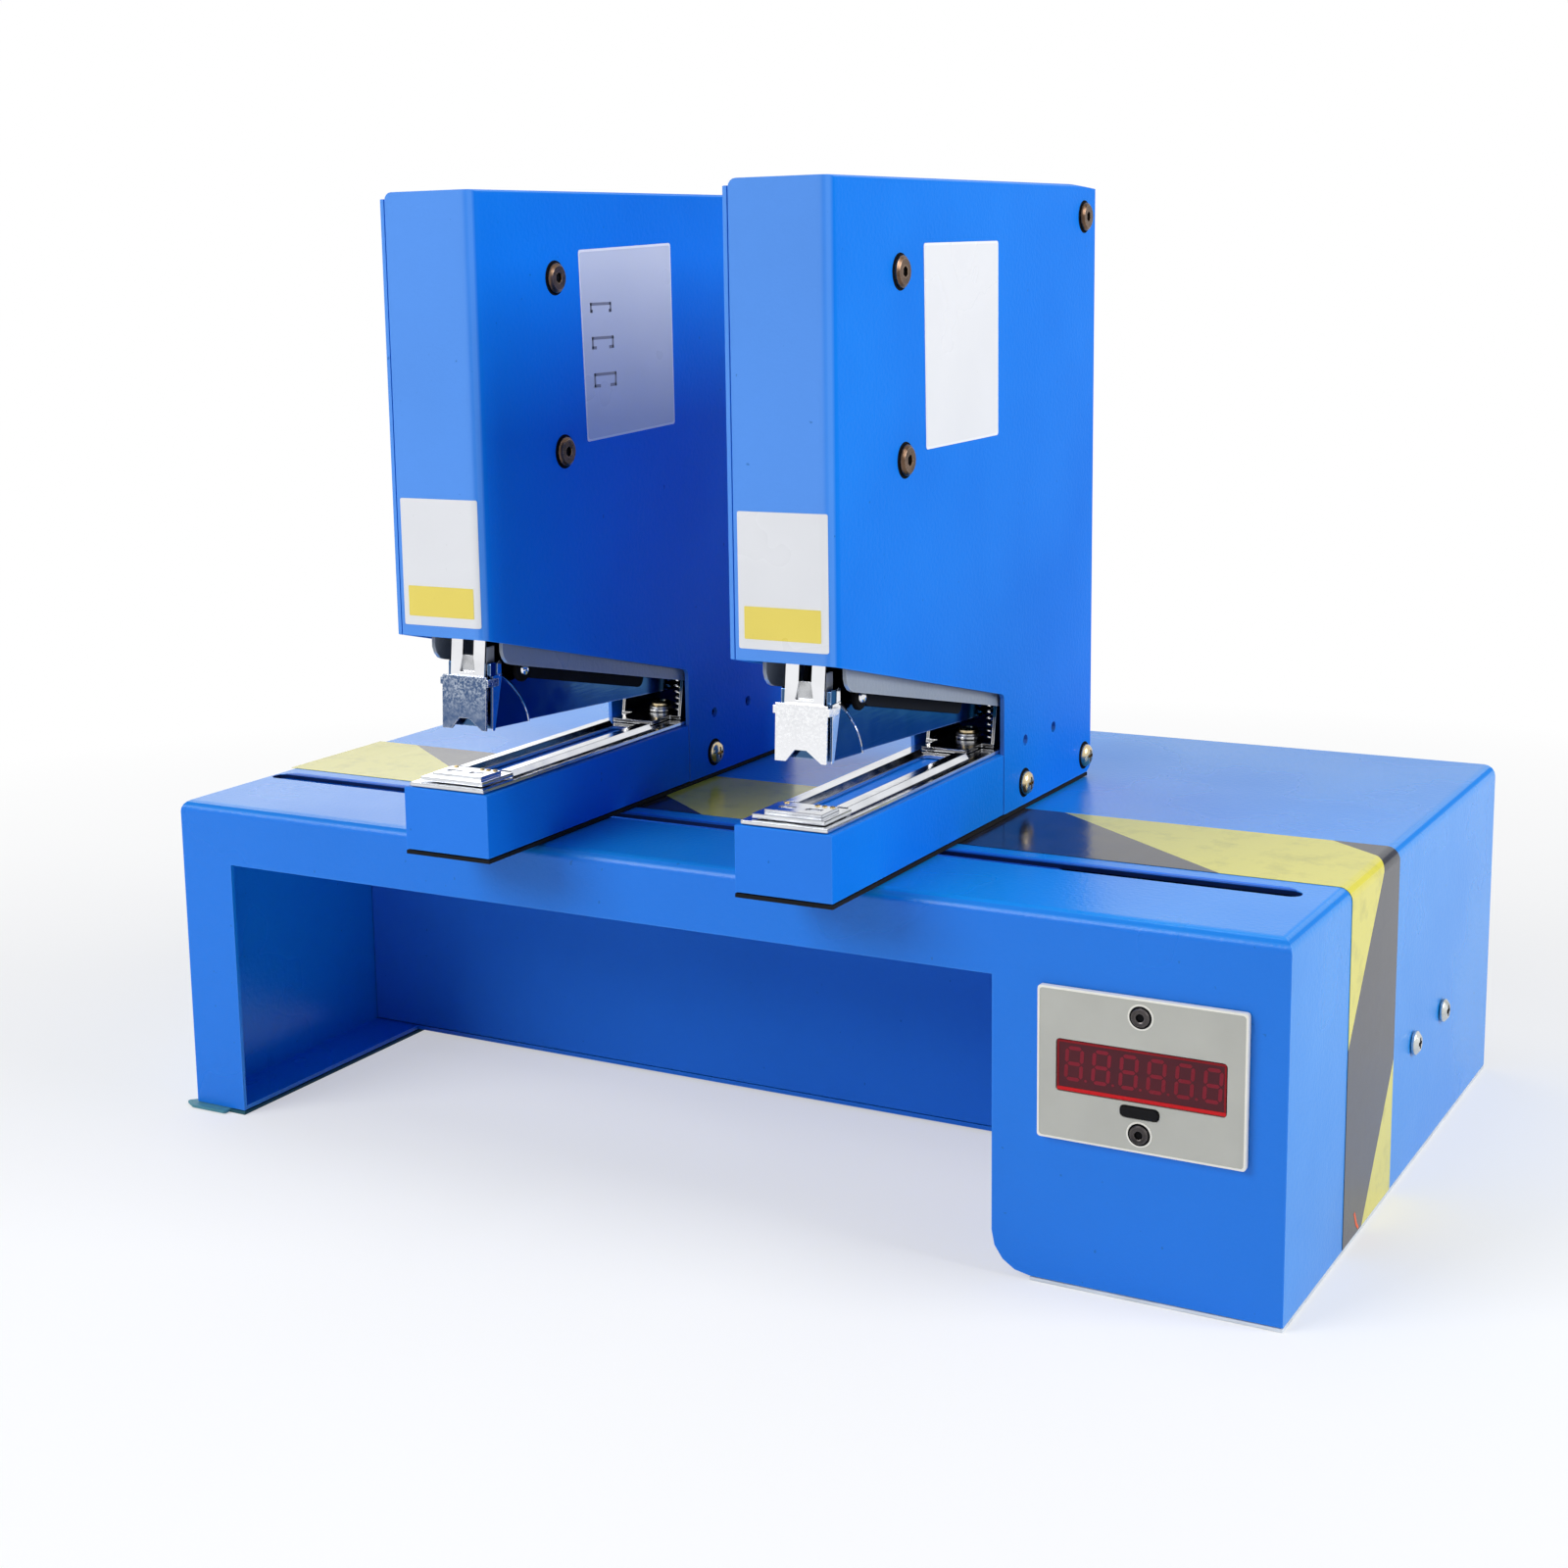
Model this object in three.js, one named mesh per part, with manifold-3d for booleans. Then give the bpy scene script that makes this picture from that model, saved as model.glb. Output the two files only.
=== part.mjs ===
// A bench stapler of folded sheet steel: two air-driven heads clamp in one slot of a low table.
// Millimetres. x runs right, y runs back and z runs up, from the table's front left corner on the floor.
// The finished group is moved so that its origin is under the middle of the whole machine.

import * as THREE from "three";
import { mergeVertices } from "three/addons/utils/BufferGeometryUtils.js";
import Module from "manifold-3d";

const wasm = await Module();
wasm.setup();

// Shared clearance, overrun of cutting tools, sheet thickness and steps of round shapes
const seatGap = 0.3;
const overrun = 2;
const sheet = 1.5;
const roundSteps = 16;
const coarseSteps = 8;
const hexSides = 6;
const arcStep = Math.PI / 8;

// Table
const baseWidth = 400;
const baseDepth = 250;
const baseHeight = 114;
const baseBend = 4;
const padThickness = 1.2;
const padProud = 0.5;
const legWidth = 22;
const boxWidth = 88;
const boxCorner = 12;
const fasciaRail = 21.5;
const kneeDepth = 104;

// Slot that the heads clamp in
const slotY = 47;
const slotWidth = 7;
const slotLeftMargin = 4;
const slotRightMargin = 11;

// Counter
const bezelWidth = 61;
const bezelHeight = 44.7;
const bezelThickness = 1.8;
const bezelCorner = 0.8;
const bezelRightMargin = 11.4;
const bezelTopMargin = 22.4;
const windowWidth = 50.6;
const windowHeight = 15.8;
const windowCorner = 1.2;
const windowTopMargin = 14.7;
const windowRecess = 0.4;
const counterDepth = 22;
const counterBodyWidth = 52.5;
const counterBodyTopMargin = 12.3;
const counterBodyBottomMargin = 8.5;
const buttonWidth = 11.2;
const buttonHeight = 3.1;
const buttonBottomMargin = 11.4;
const buttonProud = 0.8;
const buttonDepth = 4.2;
const buttonTravel = 1.2;
const counterScrewMargin = 5;
const counterScrewRadius = 1.5;

// Air valve inside the right wall
const valveRearMargin = 71.6;
const valveScrewSpacing = 38.4;
const valveScrewZ = 43;
const valveThickness = 22;
const valveHeight = 27;
const valveEnd = 11;
const coilRadius = 10;
const coilLength = 24;
const valveScrewHead = 4;
const valveScrewCrown = 2.5;
const valveScrewHeadHeight = 2.2;
const valveScrewShank = 2;
const valveScrewLength = 16;
const crossWidth = 1.1;
const crossDepth = 1.2;

// Air and power inlets in the rear wall
const inletZ = 40;
const airInletMargin = 60;
const airThreadRadius = 6.5;
const airHexRadius = 9.2;
const airHexLength = 6;
const airCollarRadius = 7;
const airCollarLength = 8;
const airTubeRadius = 4;
const airTubeDepth = 11;
const inletInside = 9;
const inletPitch = 44;
const powerThreadRadius = 5.5;
const powerFlangeRadius = 7.5;
const powerFlangeLength = 3;
const powerBoreRadius = 4;
const powerBoreDepth = 9;
const powerPinRadius = 1;

// Heads and how far apart they stand
const headsLeftOfMiddle = 1.45;
const headPitch = 120.5;
const headWidth = 32.2;
const headBend = 4.5;
const headFrontY = -25.8;
const headLength = 201.6;
const headHeight = 205.7;
const headRearSlope = 22;
const headRearDrop = 1.5;
const headFreeCorner = 2.5;
const throatFrontHeight = 48.6;
const throatBackHeight = 20.1;
const throatDepth = 122.1;
const throatFillet = 2.5;
const footChamferY = 4;
const footChamferZ = 2.5;
const sideCoverDrop = 2;
const hoseHoleHeight = 32.2;
const hoseHoleRadius = 5;
const spareHoleRadius = 2;
const spareHoleHeight = 22;
const spareHoleBehindThroat = 18.1;
const spareHoleSpacing = 25;

// Arm under the throat
const armProud = 2.9;
const armBehind = 5.8;
const armHeight = 20.4;
const armWall = 2;
const armPadThickness = 1.2;
const armWebLength = 24;
const armWebThickness = 3;

// Clamp bolt and its knob under the table
const clampRadius = 3;
const clampHeadRadius = 5.6;
const clampHeadHeight = 4;
const knobRadius = 14;
const knobFlute = 2;
const knobLobes = 7;
const knobLobeSteps = 6;
const knobHeight = 9;
const knobBossRadius = 6.5;
const knobBossHeight = 4;
const clampBelowKnob = 2;

// Anvil base on the arm, and the anvil at its front
const anvilBaseFrontMargin = 0.9;
const anvilBaseBehindPin = 10;
const anvilBaseThickness = 1.2;
const railInner = 4.6;
const railOuter = 11.6;
const railTopWidth = 3.6;
const railHeight = 1.7;
const railBehindAnvil = 1.5;
const railToBracket = 5;
const anvilHalf = 12;
const anvilFrontMargin = 2.8;
const anvilLength = 17;
const anvilHeight = 1.3;
const anvilPlateHalf = 9.5;
const anvilPlateLength = 11;
const anvilPlateHeight = 1;
const grooveHalf = 1.3;
const grooveReach = 2.6;
const grooveDepth = 0.5;
const grooveOffset = 4.4;

// Hinge bracket and its pin
const pinBehindThroat = 15.7;
const pinHeight = 12.8;
const pinRadius = 2;
const pinHeadRadius = 3.4;
const pinHeadHeight = 1;
const bracketThickness = 1.2;
const bracketPlateReach = 28;
const bracketPlateHalf = 8;
const earReachBottom = 15.5;
const earReachTop = 11.5;
const earBehind = 7;
const earAbovePin = 7.5;
const earCorner = 5;
const earThickness = 1;

// Magazine: distances forwards of the pin, and above or below the pin
const magazineSlope = THREE.MathUtils.degToRad(3.1);
const magazineHalf = 7.6;
const magazineWall = 0.8;
const magazineBelowPin = 4.2;
const magazineRearTop = 6.3;
const magazineFrontTop = 11.8;
const magazineBehindPin = 7;
const magazineStepU = 78;
const magazineRiseU = 110;
const cheekTop = 16.5;
const cheekBottom = 4.6;
const cheekThickness = 0.6;
const cheekHookBottom = 12.1;
const cheekHookBackU = 121.7;
const cheekBendU = 109.65;
const cheekBendHeight = 7.3;
const cheekBottomU = 104.6;
const cheekCurve = 30;
const cheekBehindNose = 2.3;
const noseU = 129;
const noseHalf = 8.5;
const noseThickness = 0.8;
const noseTop = 12.2;
const noseBottom = 5;
const noseNotch = 3.6;
const noseNotchLeft = 4.9;
const noseNotchRight = 6.8;
const noseNotchFlat = 1.9;
const noseTabHeight = 2.4;
const noseTabHold = 3;
const noseTabRoot = 6.6;
const lugThickness = 1;
const lugHalfLength = 2.6;

// Staples and their pusher
const stapleCrown = 13;
const stapleHeight = 6.5;
const stapleWire = 0.7;
const stickLength = 50;
const stickToDriver = 0.7;
const pusherLength = 16;
const pusherStripHalf = 3.2;
const pusherStripLength = 8;
const pusherTravel = 32;

// Driver, its lever and the handle cover, on a steeper line through the same pin
const coverSlope = THREE.MathUtils.degToRad(11.9);
const coverHalf = 13.7;
const coverWall = 1.2;
const coverBelowPin = 2.9;
const coverTop = 16;
const coverReach = 129.3;
const coverBehindPin = 8;
const coverFrontCorner = 6;
const coverRearCorner = 5;
const driverHalf = 6.5;
const driverThickness = 0.8;
const driverBehindNose = 0.5;
const driverSlotHalf = 2.1;
const driverSlotBottomHalf = 3;
const driverSlotBottom = 4.6;
const driverSlotFlare = 5;
const driverSlotTop = 30;
const driverTop = 34;
const flangeBackU = 112;
const flangeThickness = 1.2;
const leverHalf = 10.5;
const leverWall = 1.5;
const leverFrontU = 109;
const leverBackU = 37;
const leverBelowPin = 6.6;
const leverCorner = 3;

// Gaps under the nose when it is closed, and between staple and driver at rest
const paperGap = 1;
const driverToStaple = 0.5;

// Return spring between bracket and magazine
const springWire = 0.55;
const springRadius = 1.2;
const springReach = 12.5;
const springTurns = 8;
const springSteps = 8;
const springSides = 5;

// Air cylinder, its rod and the bolts that tie the head's shells together
const cylinderFrontGap = 0.5;
const cylinderLength = 56.8;
const cylinderOverFoot = 31;
const cylinderUnderTop = 18.5;
const cylinderCorner = 3;
const pressBehindFront = 23.8;
const rodRadius = 5;
const rodGuide = 10;
const portLength = 10;
const portBoreRadius = 2.5;
const portBoreDepth = 18;
const footRadius = 8;
const footCurve = 18;
const footHeight = 5;
const tieRadius = 2.5;
const tieHeadRadius = 4.75;
const tieHeadHeight = 1.4;
const tieHeadCrown = 3.8;
const tieSocketRadius = 1.75;
const tieSocketDepth = 2.4;
const tieUpperFromBack = 14.4;
const tieLowerFromBack = 11.6;
const tieFromEnd = 8.5;
const tieRearFromBack = 11.3;
const tieRearFromTop = 10.8;

// Places that follow from the sizes above
const padTop = padThickness + seatGap;
const boxLeft = baseWidth - boxWidth;
const openingTop = baseHeight - fasciaRail;
const valveFrontScrewY = baseDepth - valveRearMargin - valveScrewSpacing;
const airInletX = baseWidth - airInletMargin;
const powerInletX = airInletX - inletPitch;
const leftHeadX = (baseWidth - headPitch) / 2 - headsLeftOfMiddle;
const ceiling = baseHeight - sheet;
const slotLeft = slotLeftMargin;
const slotRight = baseWidth - slotRightMargin;
const armBottomZ = baseHeight + seatGap + armPadThickness + seatGap;
const armTopZ = armBottomZ + armHeight;
const headBackY = headFrontY + headLength;
const headTopZ = armBottomZ + headHeight;
const throatFrontZ = armTopZ + throatFrontHeight;
const throatBackZ = armTopZ + throatBackHeight;
const throatBackY = headFrontY + throatDepth;
const armFrontY = headFrontY - armProud;
const armBackY = headBackY - armBehind;
const pivotY = throatBackY + pinBehindThroat;
const headHalf = headWidth / 2;
const headInner = headHalf - sheet;
const sideCoverInner = -headHalf - seatGap;
const anvilBaseHalf = headInner - seatGap;
const anvilBaseZ = armTopZ + seatGap;
const anvilBaseTopZ = anvilBaseZ + anvilBaseThickness;
const anvilBaseFrontY = armFrontY + anvilBaseFrontMargin;
const anvilBaseBackY = pivotY + anvilBaseBehindPin;
const anvilZ = anvilBaseTopZ + seatGap;
const anvilTopZ = anvilZ + anvilHeight + anvilPlateHeight;
const bracketZ = anvilBaseTopZ + seatGap;
const bracketTopZ = bracketZ + bracketThickness;
const bracketPlateFrontY = pivotY - bracketPlateReach;
const anvilFrontY = anvilBaseFrontY + anvilFrontMargin;
const anvilBackY = anvilFrontY + anvilLength;
const railFrontY = anvilBackY + railBehindAnvil;
const railBackY = bracketPlateFrontY - railToBracket;
const pivotZ = bracketTopZ + pinHeight;
const springY = pivotY - springReach;
const pressY = headFrontY + pressBehindFront;
const coverInner = coverHalf - coverWall;
const earOuter = coverInner - seatGap;
const earInner = earOuter - earThickness;
const springX = earInner - seatGap - springRadius - springWire / 2;
const driverU = noseU - noseThickness - driverBehindNose;
const stickFrontU = driverU - driverThickness - stickToDriver;
const stickBottom = seatGap - magazineBelowPin + magazineWall;
const stickTop = stickBottom + stapleHeight;
const stickBackU = stickFrontU - stickLength;
const magazineInner = magazineHalf - magazineWall;
const magazineFrontU = noseU - noseThickness - cheekBehindNose;
const coreHalf = stapleCrown / 2 - stapleWire - seatGap;
const coreTop = stickTop - stapleWire - seatGap;
const coreFrontU = stickFrontU - seatGap;
const coreBackU = stickBackU - seatGap - pusherLength - pusherTravel;
const driverEnd = seatGap - noseBottom;
const windowTop = baseHeight - bezelTopMargin - windowTopMargin;
const bezelRight = baseWidth - bezelRightMargin;
const bezelTop = baseHeight - bezelTopMargin;
const bezelMiddleX = bezelRight - bezelWidth / 2;
const buttonZ = bezelTop - bezelHeight + buttonBottomMargin;

// The angle at which a point (u, v) of a piece on the pin stands at a height over the pin
function slopeAtHeight(u, v, height) {
  return Math.asin(height / Math.hypot(u, v)) - Math.atan2(v, u);
}

const closedSlope = slopeAtHeight(noseU, -noseBottom, anvilTopZ + paperGap - pivotZ);
const closeTurn = magazineSlope - closedSlope;
const driveTurn = slopeAtHeight(driverU, driverEnd, stickTop + driverToStaple);
const driverSlope = magazineSlope + driveTurn;

// Height of the centre of the press foot's round face over the pin, with the foot on the cover
function footCentre(slope) {
  const reach = (pivotY - pressY) * Math.sin(slope);
  return (coverTop + footCurve + seatGap + reach) / Math.cos(slope);
}

const pressTravel = footCentre(coverSlope) - footCentre(coverSlope - closeTurn - driveTurn);
const footTopZ = pivotZ + footCentre(coverSlope) - Math.sqrt(footCurve ** 2 - footRadius ** 2) + footHeight;
const cylinderBottomZ = footTopZ + cylinderOverFoot;
const cylinderTopZ = headTopZ - cylinderUnderTop;
const cylinderFrontY = headFrontY + sheet + cylinderFrontGap;
const cylinderBackY = cylinderFrontY + cylinderLength;
const rodTopZ = cylinderBottomZ + pressTravel + rodGuide;

// Finishes
const finish = (color, roughness, metalness) =>
  new THREE.MeshStandardMaterial({ color, roughness, metalness });
const bluePaint = finish(0x1668dc, 0.35, 0.1);
const chrome = finish(0xd8dade, 0.12, 1);
const steel = finish(0x8d9096, 0.35, 1);
const zinc = finish(0xc9a85a, 0.3, 1);
const blackOxide = finish(0x2a2724, 0.4, 0.8);
const blackRubber = finish(0x141416, 0.8, 0);
const blackPlastic = finish(0x18191b, 0.5, 0);
const tealRubber = finish(0x0e4a55, 0.8, 0);
const paleFoam = finish(0xdfe3e6, 0.8, 0);
const greyPaint = finish(0x9299a3, 0.35, 0.2);
const palePlastic = finish(0xcfd0c8, 0.5, 0);
const redWindow = finish(0x8a0f14, 0.2, 0);
const aluminium = finish(0xb4b8bd, 0.4, 1);
const brass = finish(0xb7923f, 0.3, 1);

// Geometry helpers. Each takes and returns buffer geometries.

function toSolid(geometry) {
  const bare = new THREE.BufferGeometry();
  bare.setAttribute("position", geometry.getAttribute("position"));
  if (geometry.index) bare.setIndex(geometry.index);
  const merged = mergeVertices(bare);
  return new wasm.Manifold(
    new wasm.Mesh({
      numProp: 3,
      vertProperties: merged.getAttribute("position").array,
      triVerts: new Uint32Array(merged.index.array),
    }),
  );
}

function toGeometry(solid) {
  const { numProp, numVert, vertProperties, triVerts } = solid.getMesh();
  const positions = [];
  for (let i = 0; i < numVert; i += 1) {
    positions.push(...vertProperties.subarray(i * numProp, i * numProp + 3));
  }
  const geometry = new THREE.BufferGeometry();
  geometry.setAttribute("position", new THREE.Float32BufferAttribute(positions, 3));
  geometry.setIndex([...triVerts]);
  return geometry;
}

const join = (...parts) => toGeometry(parts.map(toSolid).reduce((a, b) => a.add(b)));
const cut = (part, ...tools) => toGeometry(tools.map(toSolid).reduce((a, b) => a.subtract(b), toSolid(part)));
const common = (...parts) => toGeometry(parts.map(toSolid).reduce((a, b) => a.intersect(b)));

// A closed shape from corners [a, b, radius]. A corner without a radius stays sharp.
function outline(corners) {
  const points = [];
  corners.forEach(([a, b, radius], i) => {
    const corner = new THREE.Vector2(a, b);
    if (!radius) {
      points.push(corner);
      return;
    }
    const [beforeA, beforeB] = corners.at(i - 1);
    const [afterA, afterB] = corners[(i + 1) % corners.length];
    const before = new THREE.Vector2(beforeA, beforeB).sub(corner).normalize();
    const after = new THREE.Vector2(afterA, afterB).sub(corner).normalize();
    const half = Math.acos(before.dot(after)) / 2;
    const centre = before.clone().add(after).normalize();
    centre.multiplyScalar(radius / Math.sin(half)).add(corner);
    const reach = radius / Math.tan(half);
    const start = before.multiplyScalar(reach).add(corner).sub(centre).angle();
    const end = after.multiplyScalar(reach).add(corner).sub(centre).angle();
    const turn = Math.atan2(Math.sin(end - start), Math.cos(end - start));
    const steps = Math.max(2, Math.ceil(Math.abs(turn) / arcStep));
    for (let step = 0; step <= steps; step += 1) {
      const angle = start + (turn * step) / steps;
      points.push(new THREE.Vector2(Math.cos(angle), Math.sin(angle)).multiplyScalar(radius).add(centre));
    }
  });
  return new THREE.Shape(points);
}

// A regular polygon's corners, or a round hole's with many sides
function ring(sides, radius, a, b) {
  return Array.from({ length: sides }, (_, i) => {
    const angle = (2 * Math.PI * (i + 0.5)) / sides;
    return [a + radius * Math.cos(angle), b + radius * Math.sin(angle)];
  });
}

// A rectangle's corners with one radius, from its low to its high sides
function rectangle(a0, a1, b0, b1, radius) {
  return [
    [a0, b0, radius],
    [a1, b0, radius],
    [a1, b1, radius],
    [a0, b1, radius],
  ];
}

const xAxis = new THREE.Vector3(1, 0, 0);
const yAxis = new THREE.Vector3(0, 1, 0);
const zAxis = new THREE.Vector3(0, 0, 1);
const backwards = (axis) => axis.clone().negate();

// An extruded piece. Its corners are (y, z) along x, (x, z) along y and (x, y) along z.
const slabFrames = {
  x: new THREE.Matrix4().makeBasis(yAxis, zAxis, xAxis),
  y: new THREE.Matrix4().makeBasis(xAxis, zAxis, backwards(yAxis)),
  z: new THREE.Matrix4(),
};

function slab(axis, corners, from, to) {
  const depth = to - from;
  const geometry = new THREE.ExtrudeGeometry(outline(corners), { depth, bevelEnabled: false });
  geometry.translate(0, 0, axis === "y" ? -to : from);
  return geometry.applyMatrix4(slabFrames[axis]);
}

const box = (x0, x1, y0, y1, z0, z1) => slab("z", rectangle(x0, x1, y0, y1), z0, z1);

// A turned piece. Its profile holds [radius, distance along the axis], and a and b place the axis.
const turnFrames = {
  x: new THREE.Matrix4().makeBasis(yAxis, xAxis, backwards(zAxis)),
  y: new THREE.Matrix4(),
  z: new THREE.Matrix4().makeBasis(xAxis, zAxis, backwards(yAxis)),
};

function turned(axis, profile, a, b, steps = roundSteps) {
  const points = profile.map(([radius, along]) => new THREE.Vector2(radius, along));
  const geometry = new THREE.LatheGeometry(points, steps);
  geometry.applyMatrix4(turnFrames[axis]);
  const places = { x: [0, a, b], y: [a, 0, b], z: [a, b, 0] };
  return geometry.translate(...places[axis]);
}

const rod = (axis, radius, from, to, a, b, steps) =>
  turned(axis, [[0, from], [radius, from], [radius, to], [0, to]], a, b, steps);

// A round hole that leaves the clearance all round, also at the middle of its flats
const bore = (axis, radius, from, to, a, b) =>
  rod(axis, (radius + seatGap) / Math.cos(Math.PI / roundSteps), from, to, a, b);

function piece(parent, name, geometry, material) {
  const mesh = new THREE.Mesh(geometry, material);
  mesh.name = name;
  parent.add(mesh);
  return mesh;
}

// Folded shell of the table: top, front and both sides in one sheet
function baseShell() {
  const body = (inset, bend, frontY, lowZ, highY) =>
    common(
      slab(
        "y",
        [
          [inset, lowZ],
          [baseWidth - inset, lowZ],
          [baseWidth - inset, baseHeight - inset, bend],
          [inset, baseHeight - inset, bend],
        ],
        frontY,
        highY,
      ),
      slab(
        "x",
        [
          [frontY, lowZ],
          [highY, lowZ],
          [highY, baseHeight - inset],
          [frontY, baseHeight - inset, bend],
        ],
        inset,
        baseWidth - inset,
      ),
    );
  const outer = body(0, baseBend, 0, padTop, baseDepth);
  const inner = body(sheet, baseBend - sheet, sheet, padTop - overrun, baseDepth + overrun);
  const kneeOpening = slab(
    "y",
    [
      [legWidth, padTop - overrun],
      [legWidth, openingTop],
      [boxLeft, openingTop],
      [boxLeft, padTop, boxCorner],
      [boxLeft + 2 * boxCorner, padTop],
      [boxLeft + 2 * boxCorner, padTop - overrun],
    ],
    -overrun,
    sheet + overrun,
  );
  const slot = slab(
    "z",
    rectangle(slotLeft, slotRight, slotY - slotWidth / 2, slotY + slotWidth / 2, slotWidth / 2 - seatGap / 2),
    ceiling - overrun,
    baseHeight + overrun,
  );
  const counterHole = slab("y", counterOutline(seatGap), -overrun, sheet + overrun);
  const counterScrews = counterScrewPlaces().map(([x, z]) =>
    rod("y", counterScrewRadius, -overrun, sheet + overrun, x, z, roundSteps / 2),
  );
  const valveScrews = valveScrewPlaces().map((y) =>
    bore("x", valveScrewShank, baseWidth - sheet - overrun, baseWidth + overrun, y, valveScrewZ),
  );
  const floorFlange = box(sheet / 2, legWidth, sheet / 2, kneeDepth - seatGap, padTop, padTop + sheet);
  const folded = cut(outer, inner, kneeOpening, slot, counterHole, ...counterScrews, ...valveScrews);
  return join(folded, floorFlange);
}

// Inner panel behind the knee recess, folded forwards into the counter box's side
function innerPanel() {
  const top = ceiling - seatGap;
  const near = sheet + seatGap;
  const panel = slab(
    "y",
    [
      [near, padTop + near],
      [boxLeft + sheet, padTop + near],
      [boxLeft + sheet, top],
      [near, top, baseBend - sheet],
    ],
    kneeDepth,
    kneeDepth + sheet,
  );
  const side = slab(
    "x",
    [
      [near, padTop + boxCorner + seatGap],
      [kneeDepth + sheet, padTop + boxCorner + seatGap],
      [kneeDepth + sheet, top],
      [near, top, baseBend - sheet],
    ],
    boxLeft,
    boxLeft + sheet,
  );
  return join(panel, side);
}

// Tray that closes the table underneath and behind, with the rolled corner of the counter box
function baseTray() {
  const left = sheet + seatGap;
  const right = baseWidth - sheet - seatGap;
  const front = sheet + seatGap;
  const rolled = slab(
    "y",
    [
      [boxLeft, padTop + boxCorner],
      [boxLeft, padTop, boxCorner],
      [right, padTop],
      [right, padTop + sheet],
      [boxLeft + sheet, padTop + sheet, boxCorner - sheet],
      [boxLeft + sheet, padTop + boxCorner],
    ],
    front,
    kneeDepth - seatGap,
  );
  const boxFloor = box(boxLeft + boxCorner, right, front, kneeDepth + sheet, padTop, padTop + sheet);
  const floor = box(left, right, kneeDepth, baseDepth, padTop, padTop + sheet);
  const rear = slab(
    "y",
    [
      [left, padTop],
      [right, padTop],
      [right, ceiling - seatGap, baseBend - sheet],
      [left, ceiling - seatGap, baseBend - sheet],
    ],
    baseDepth - sheet,
    baseDepth,
  );
  const hole = (x, radius) =>
    bore("y", radius, baseDepth - sheet - overrun, baseDepth + overrun, x, inletZ);
  return cut(
    join(rolled, boxFloor, floor, rear),
    hole(airInletX, airThreadRadius),
    hole(powerInletX, powerThreadRadius),
  );
}

// Counter: outline of its body, with room round it, and the places of its two screws
function counterOutline(room) {
  const half = counterBodyWidth / 2 + room;
  const bottom = bezelTop - bezelHeight + counterBodyBottomMargin - room;
  return rectangle(bezelMiddleX - half, bezelMiddleX + half, bottom, bezelTop - counterBodyTopMargin + room);
}

function counterScrewPlaces() {
  return [
    [bezelMiddleX, bezelTop - counterScrewMargin],
    [bezelMiddleX, bezelTop - bezelHeight + counterScrewMargin],
  ];
}

function buttonOutline(room) {
  const halfWidth = buttonWidth / 2 + room;
  const halfHeight = buttonHeight / 2 + room;
  const corner = halfHeight - room / 2 - seatGap;
  return rectangle(
    bezelMiddleX - halfWidth,
    bezelMiddleX + halfWidth,
    buttonZ - halfHeight,
    buttonZ + halfHeight,
    corner,
  );
}

function windowOutline(inset) {
  const half = windowWidth / 2 - inset;
  return rectangle(
    bezelMiddleX - half,
    bezelMiddleX + half,
    windowTop - windowHeight + inset,
    windowTop - inset,
    windowCorner - inset,
  );
}

function addCounter(base) {
  const front = -seatGap - bezelThickness;
  const bezelBottom = bezelTop - bezelHeight;
  const holes = counterScrewPlaces().map(([x, z]) =>
    rod("y", counterScrewRadius, front - overrun, overrun, x, z, coarseSteps),
  );
  const left = bezelRight - bezelWidth;
  const plate = slab("y", rectangle(left, bezelRight, bezelBottom, bezelTop, bezelCorner), front, -seatGap);
  const windowCut = slab("y", windowOutline(0), front - overrun, overrun);
  const buttonCut = slab("y", buttonOutline(seatGap), front - overrun, overrun);
  piece(base, "counter_bezel", cut(plate, windowCut, buttonCut, ...holes), palePlastic);
  piece(base, "counter_window", slab("y", windowOutline(seatGap), front + windowRecess, -seatGap), redWindow);
  const pocket = slab("y", buttonOutline(seatGap), -overrun, buttonDepth + buttonTravel);
  piece(base, "counter_body", cut(slab("y", counterOutline(0), 0, counterDepth), pocket), blackPlastic);
  const buttonFront = front - buttonProud;
  const button = slab("y", buttonOutline(0), buttonFront, front + buttonDepth);
  piece(base, "reset_button", button, blackRubber);
}

// Air valve with its coil, and the two screws that hold it to the right wall
function valveScrewPlaces() {
  return [valveFrontScrewY, valveFrontScrewY + valveScrewSpacing];
}

function addValve(base) {
  const wall = baseWidth - sheet - seatGap;
  const front = valveFrontScrewY - valveEnd;
  const back = valveFrontScrewY + valveScrewSpacing + valveEnd;
  const low = valveScrewZ - valveHeight / 2;
  const body = box(wall - valveThickness, wall, front, back, low, low + valveHeight);
  const coil = rod(
    "y",
    coilRadius,
    back - overrun,
    back + coilLength,
    wall - valveThickness / 2,
    valveScrewZ,
  );
  const holes = valveScrewPlaces().map((y) =>
    bore("x", valveScrewShank, wall - valveThickness - overrun, wall + overrun, y, valveScrewZ),
  );
  piece(base, "valve_body", cut(join(body, coil), ...holes), aluminium);
  const names = ["valve_screw_front", "valve_screw_rear"];
  valveScrewPlaces().forEach((y, i) => {
    piece(base, names[i], panScrew(y), zinc);
  });
}

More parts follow.
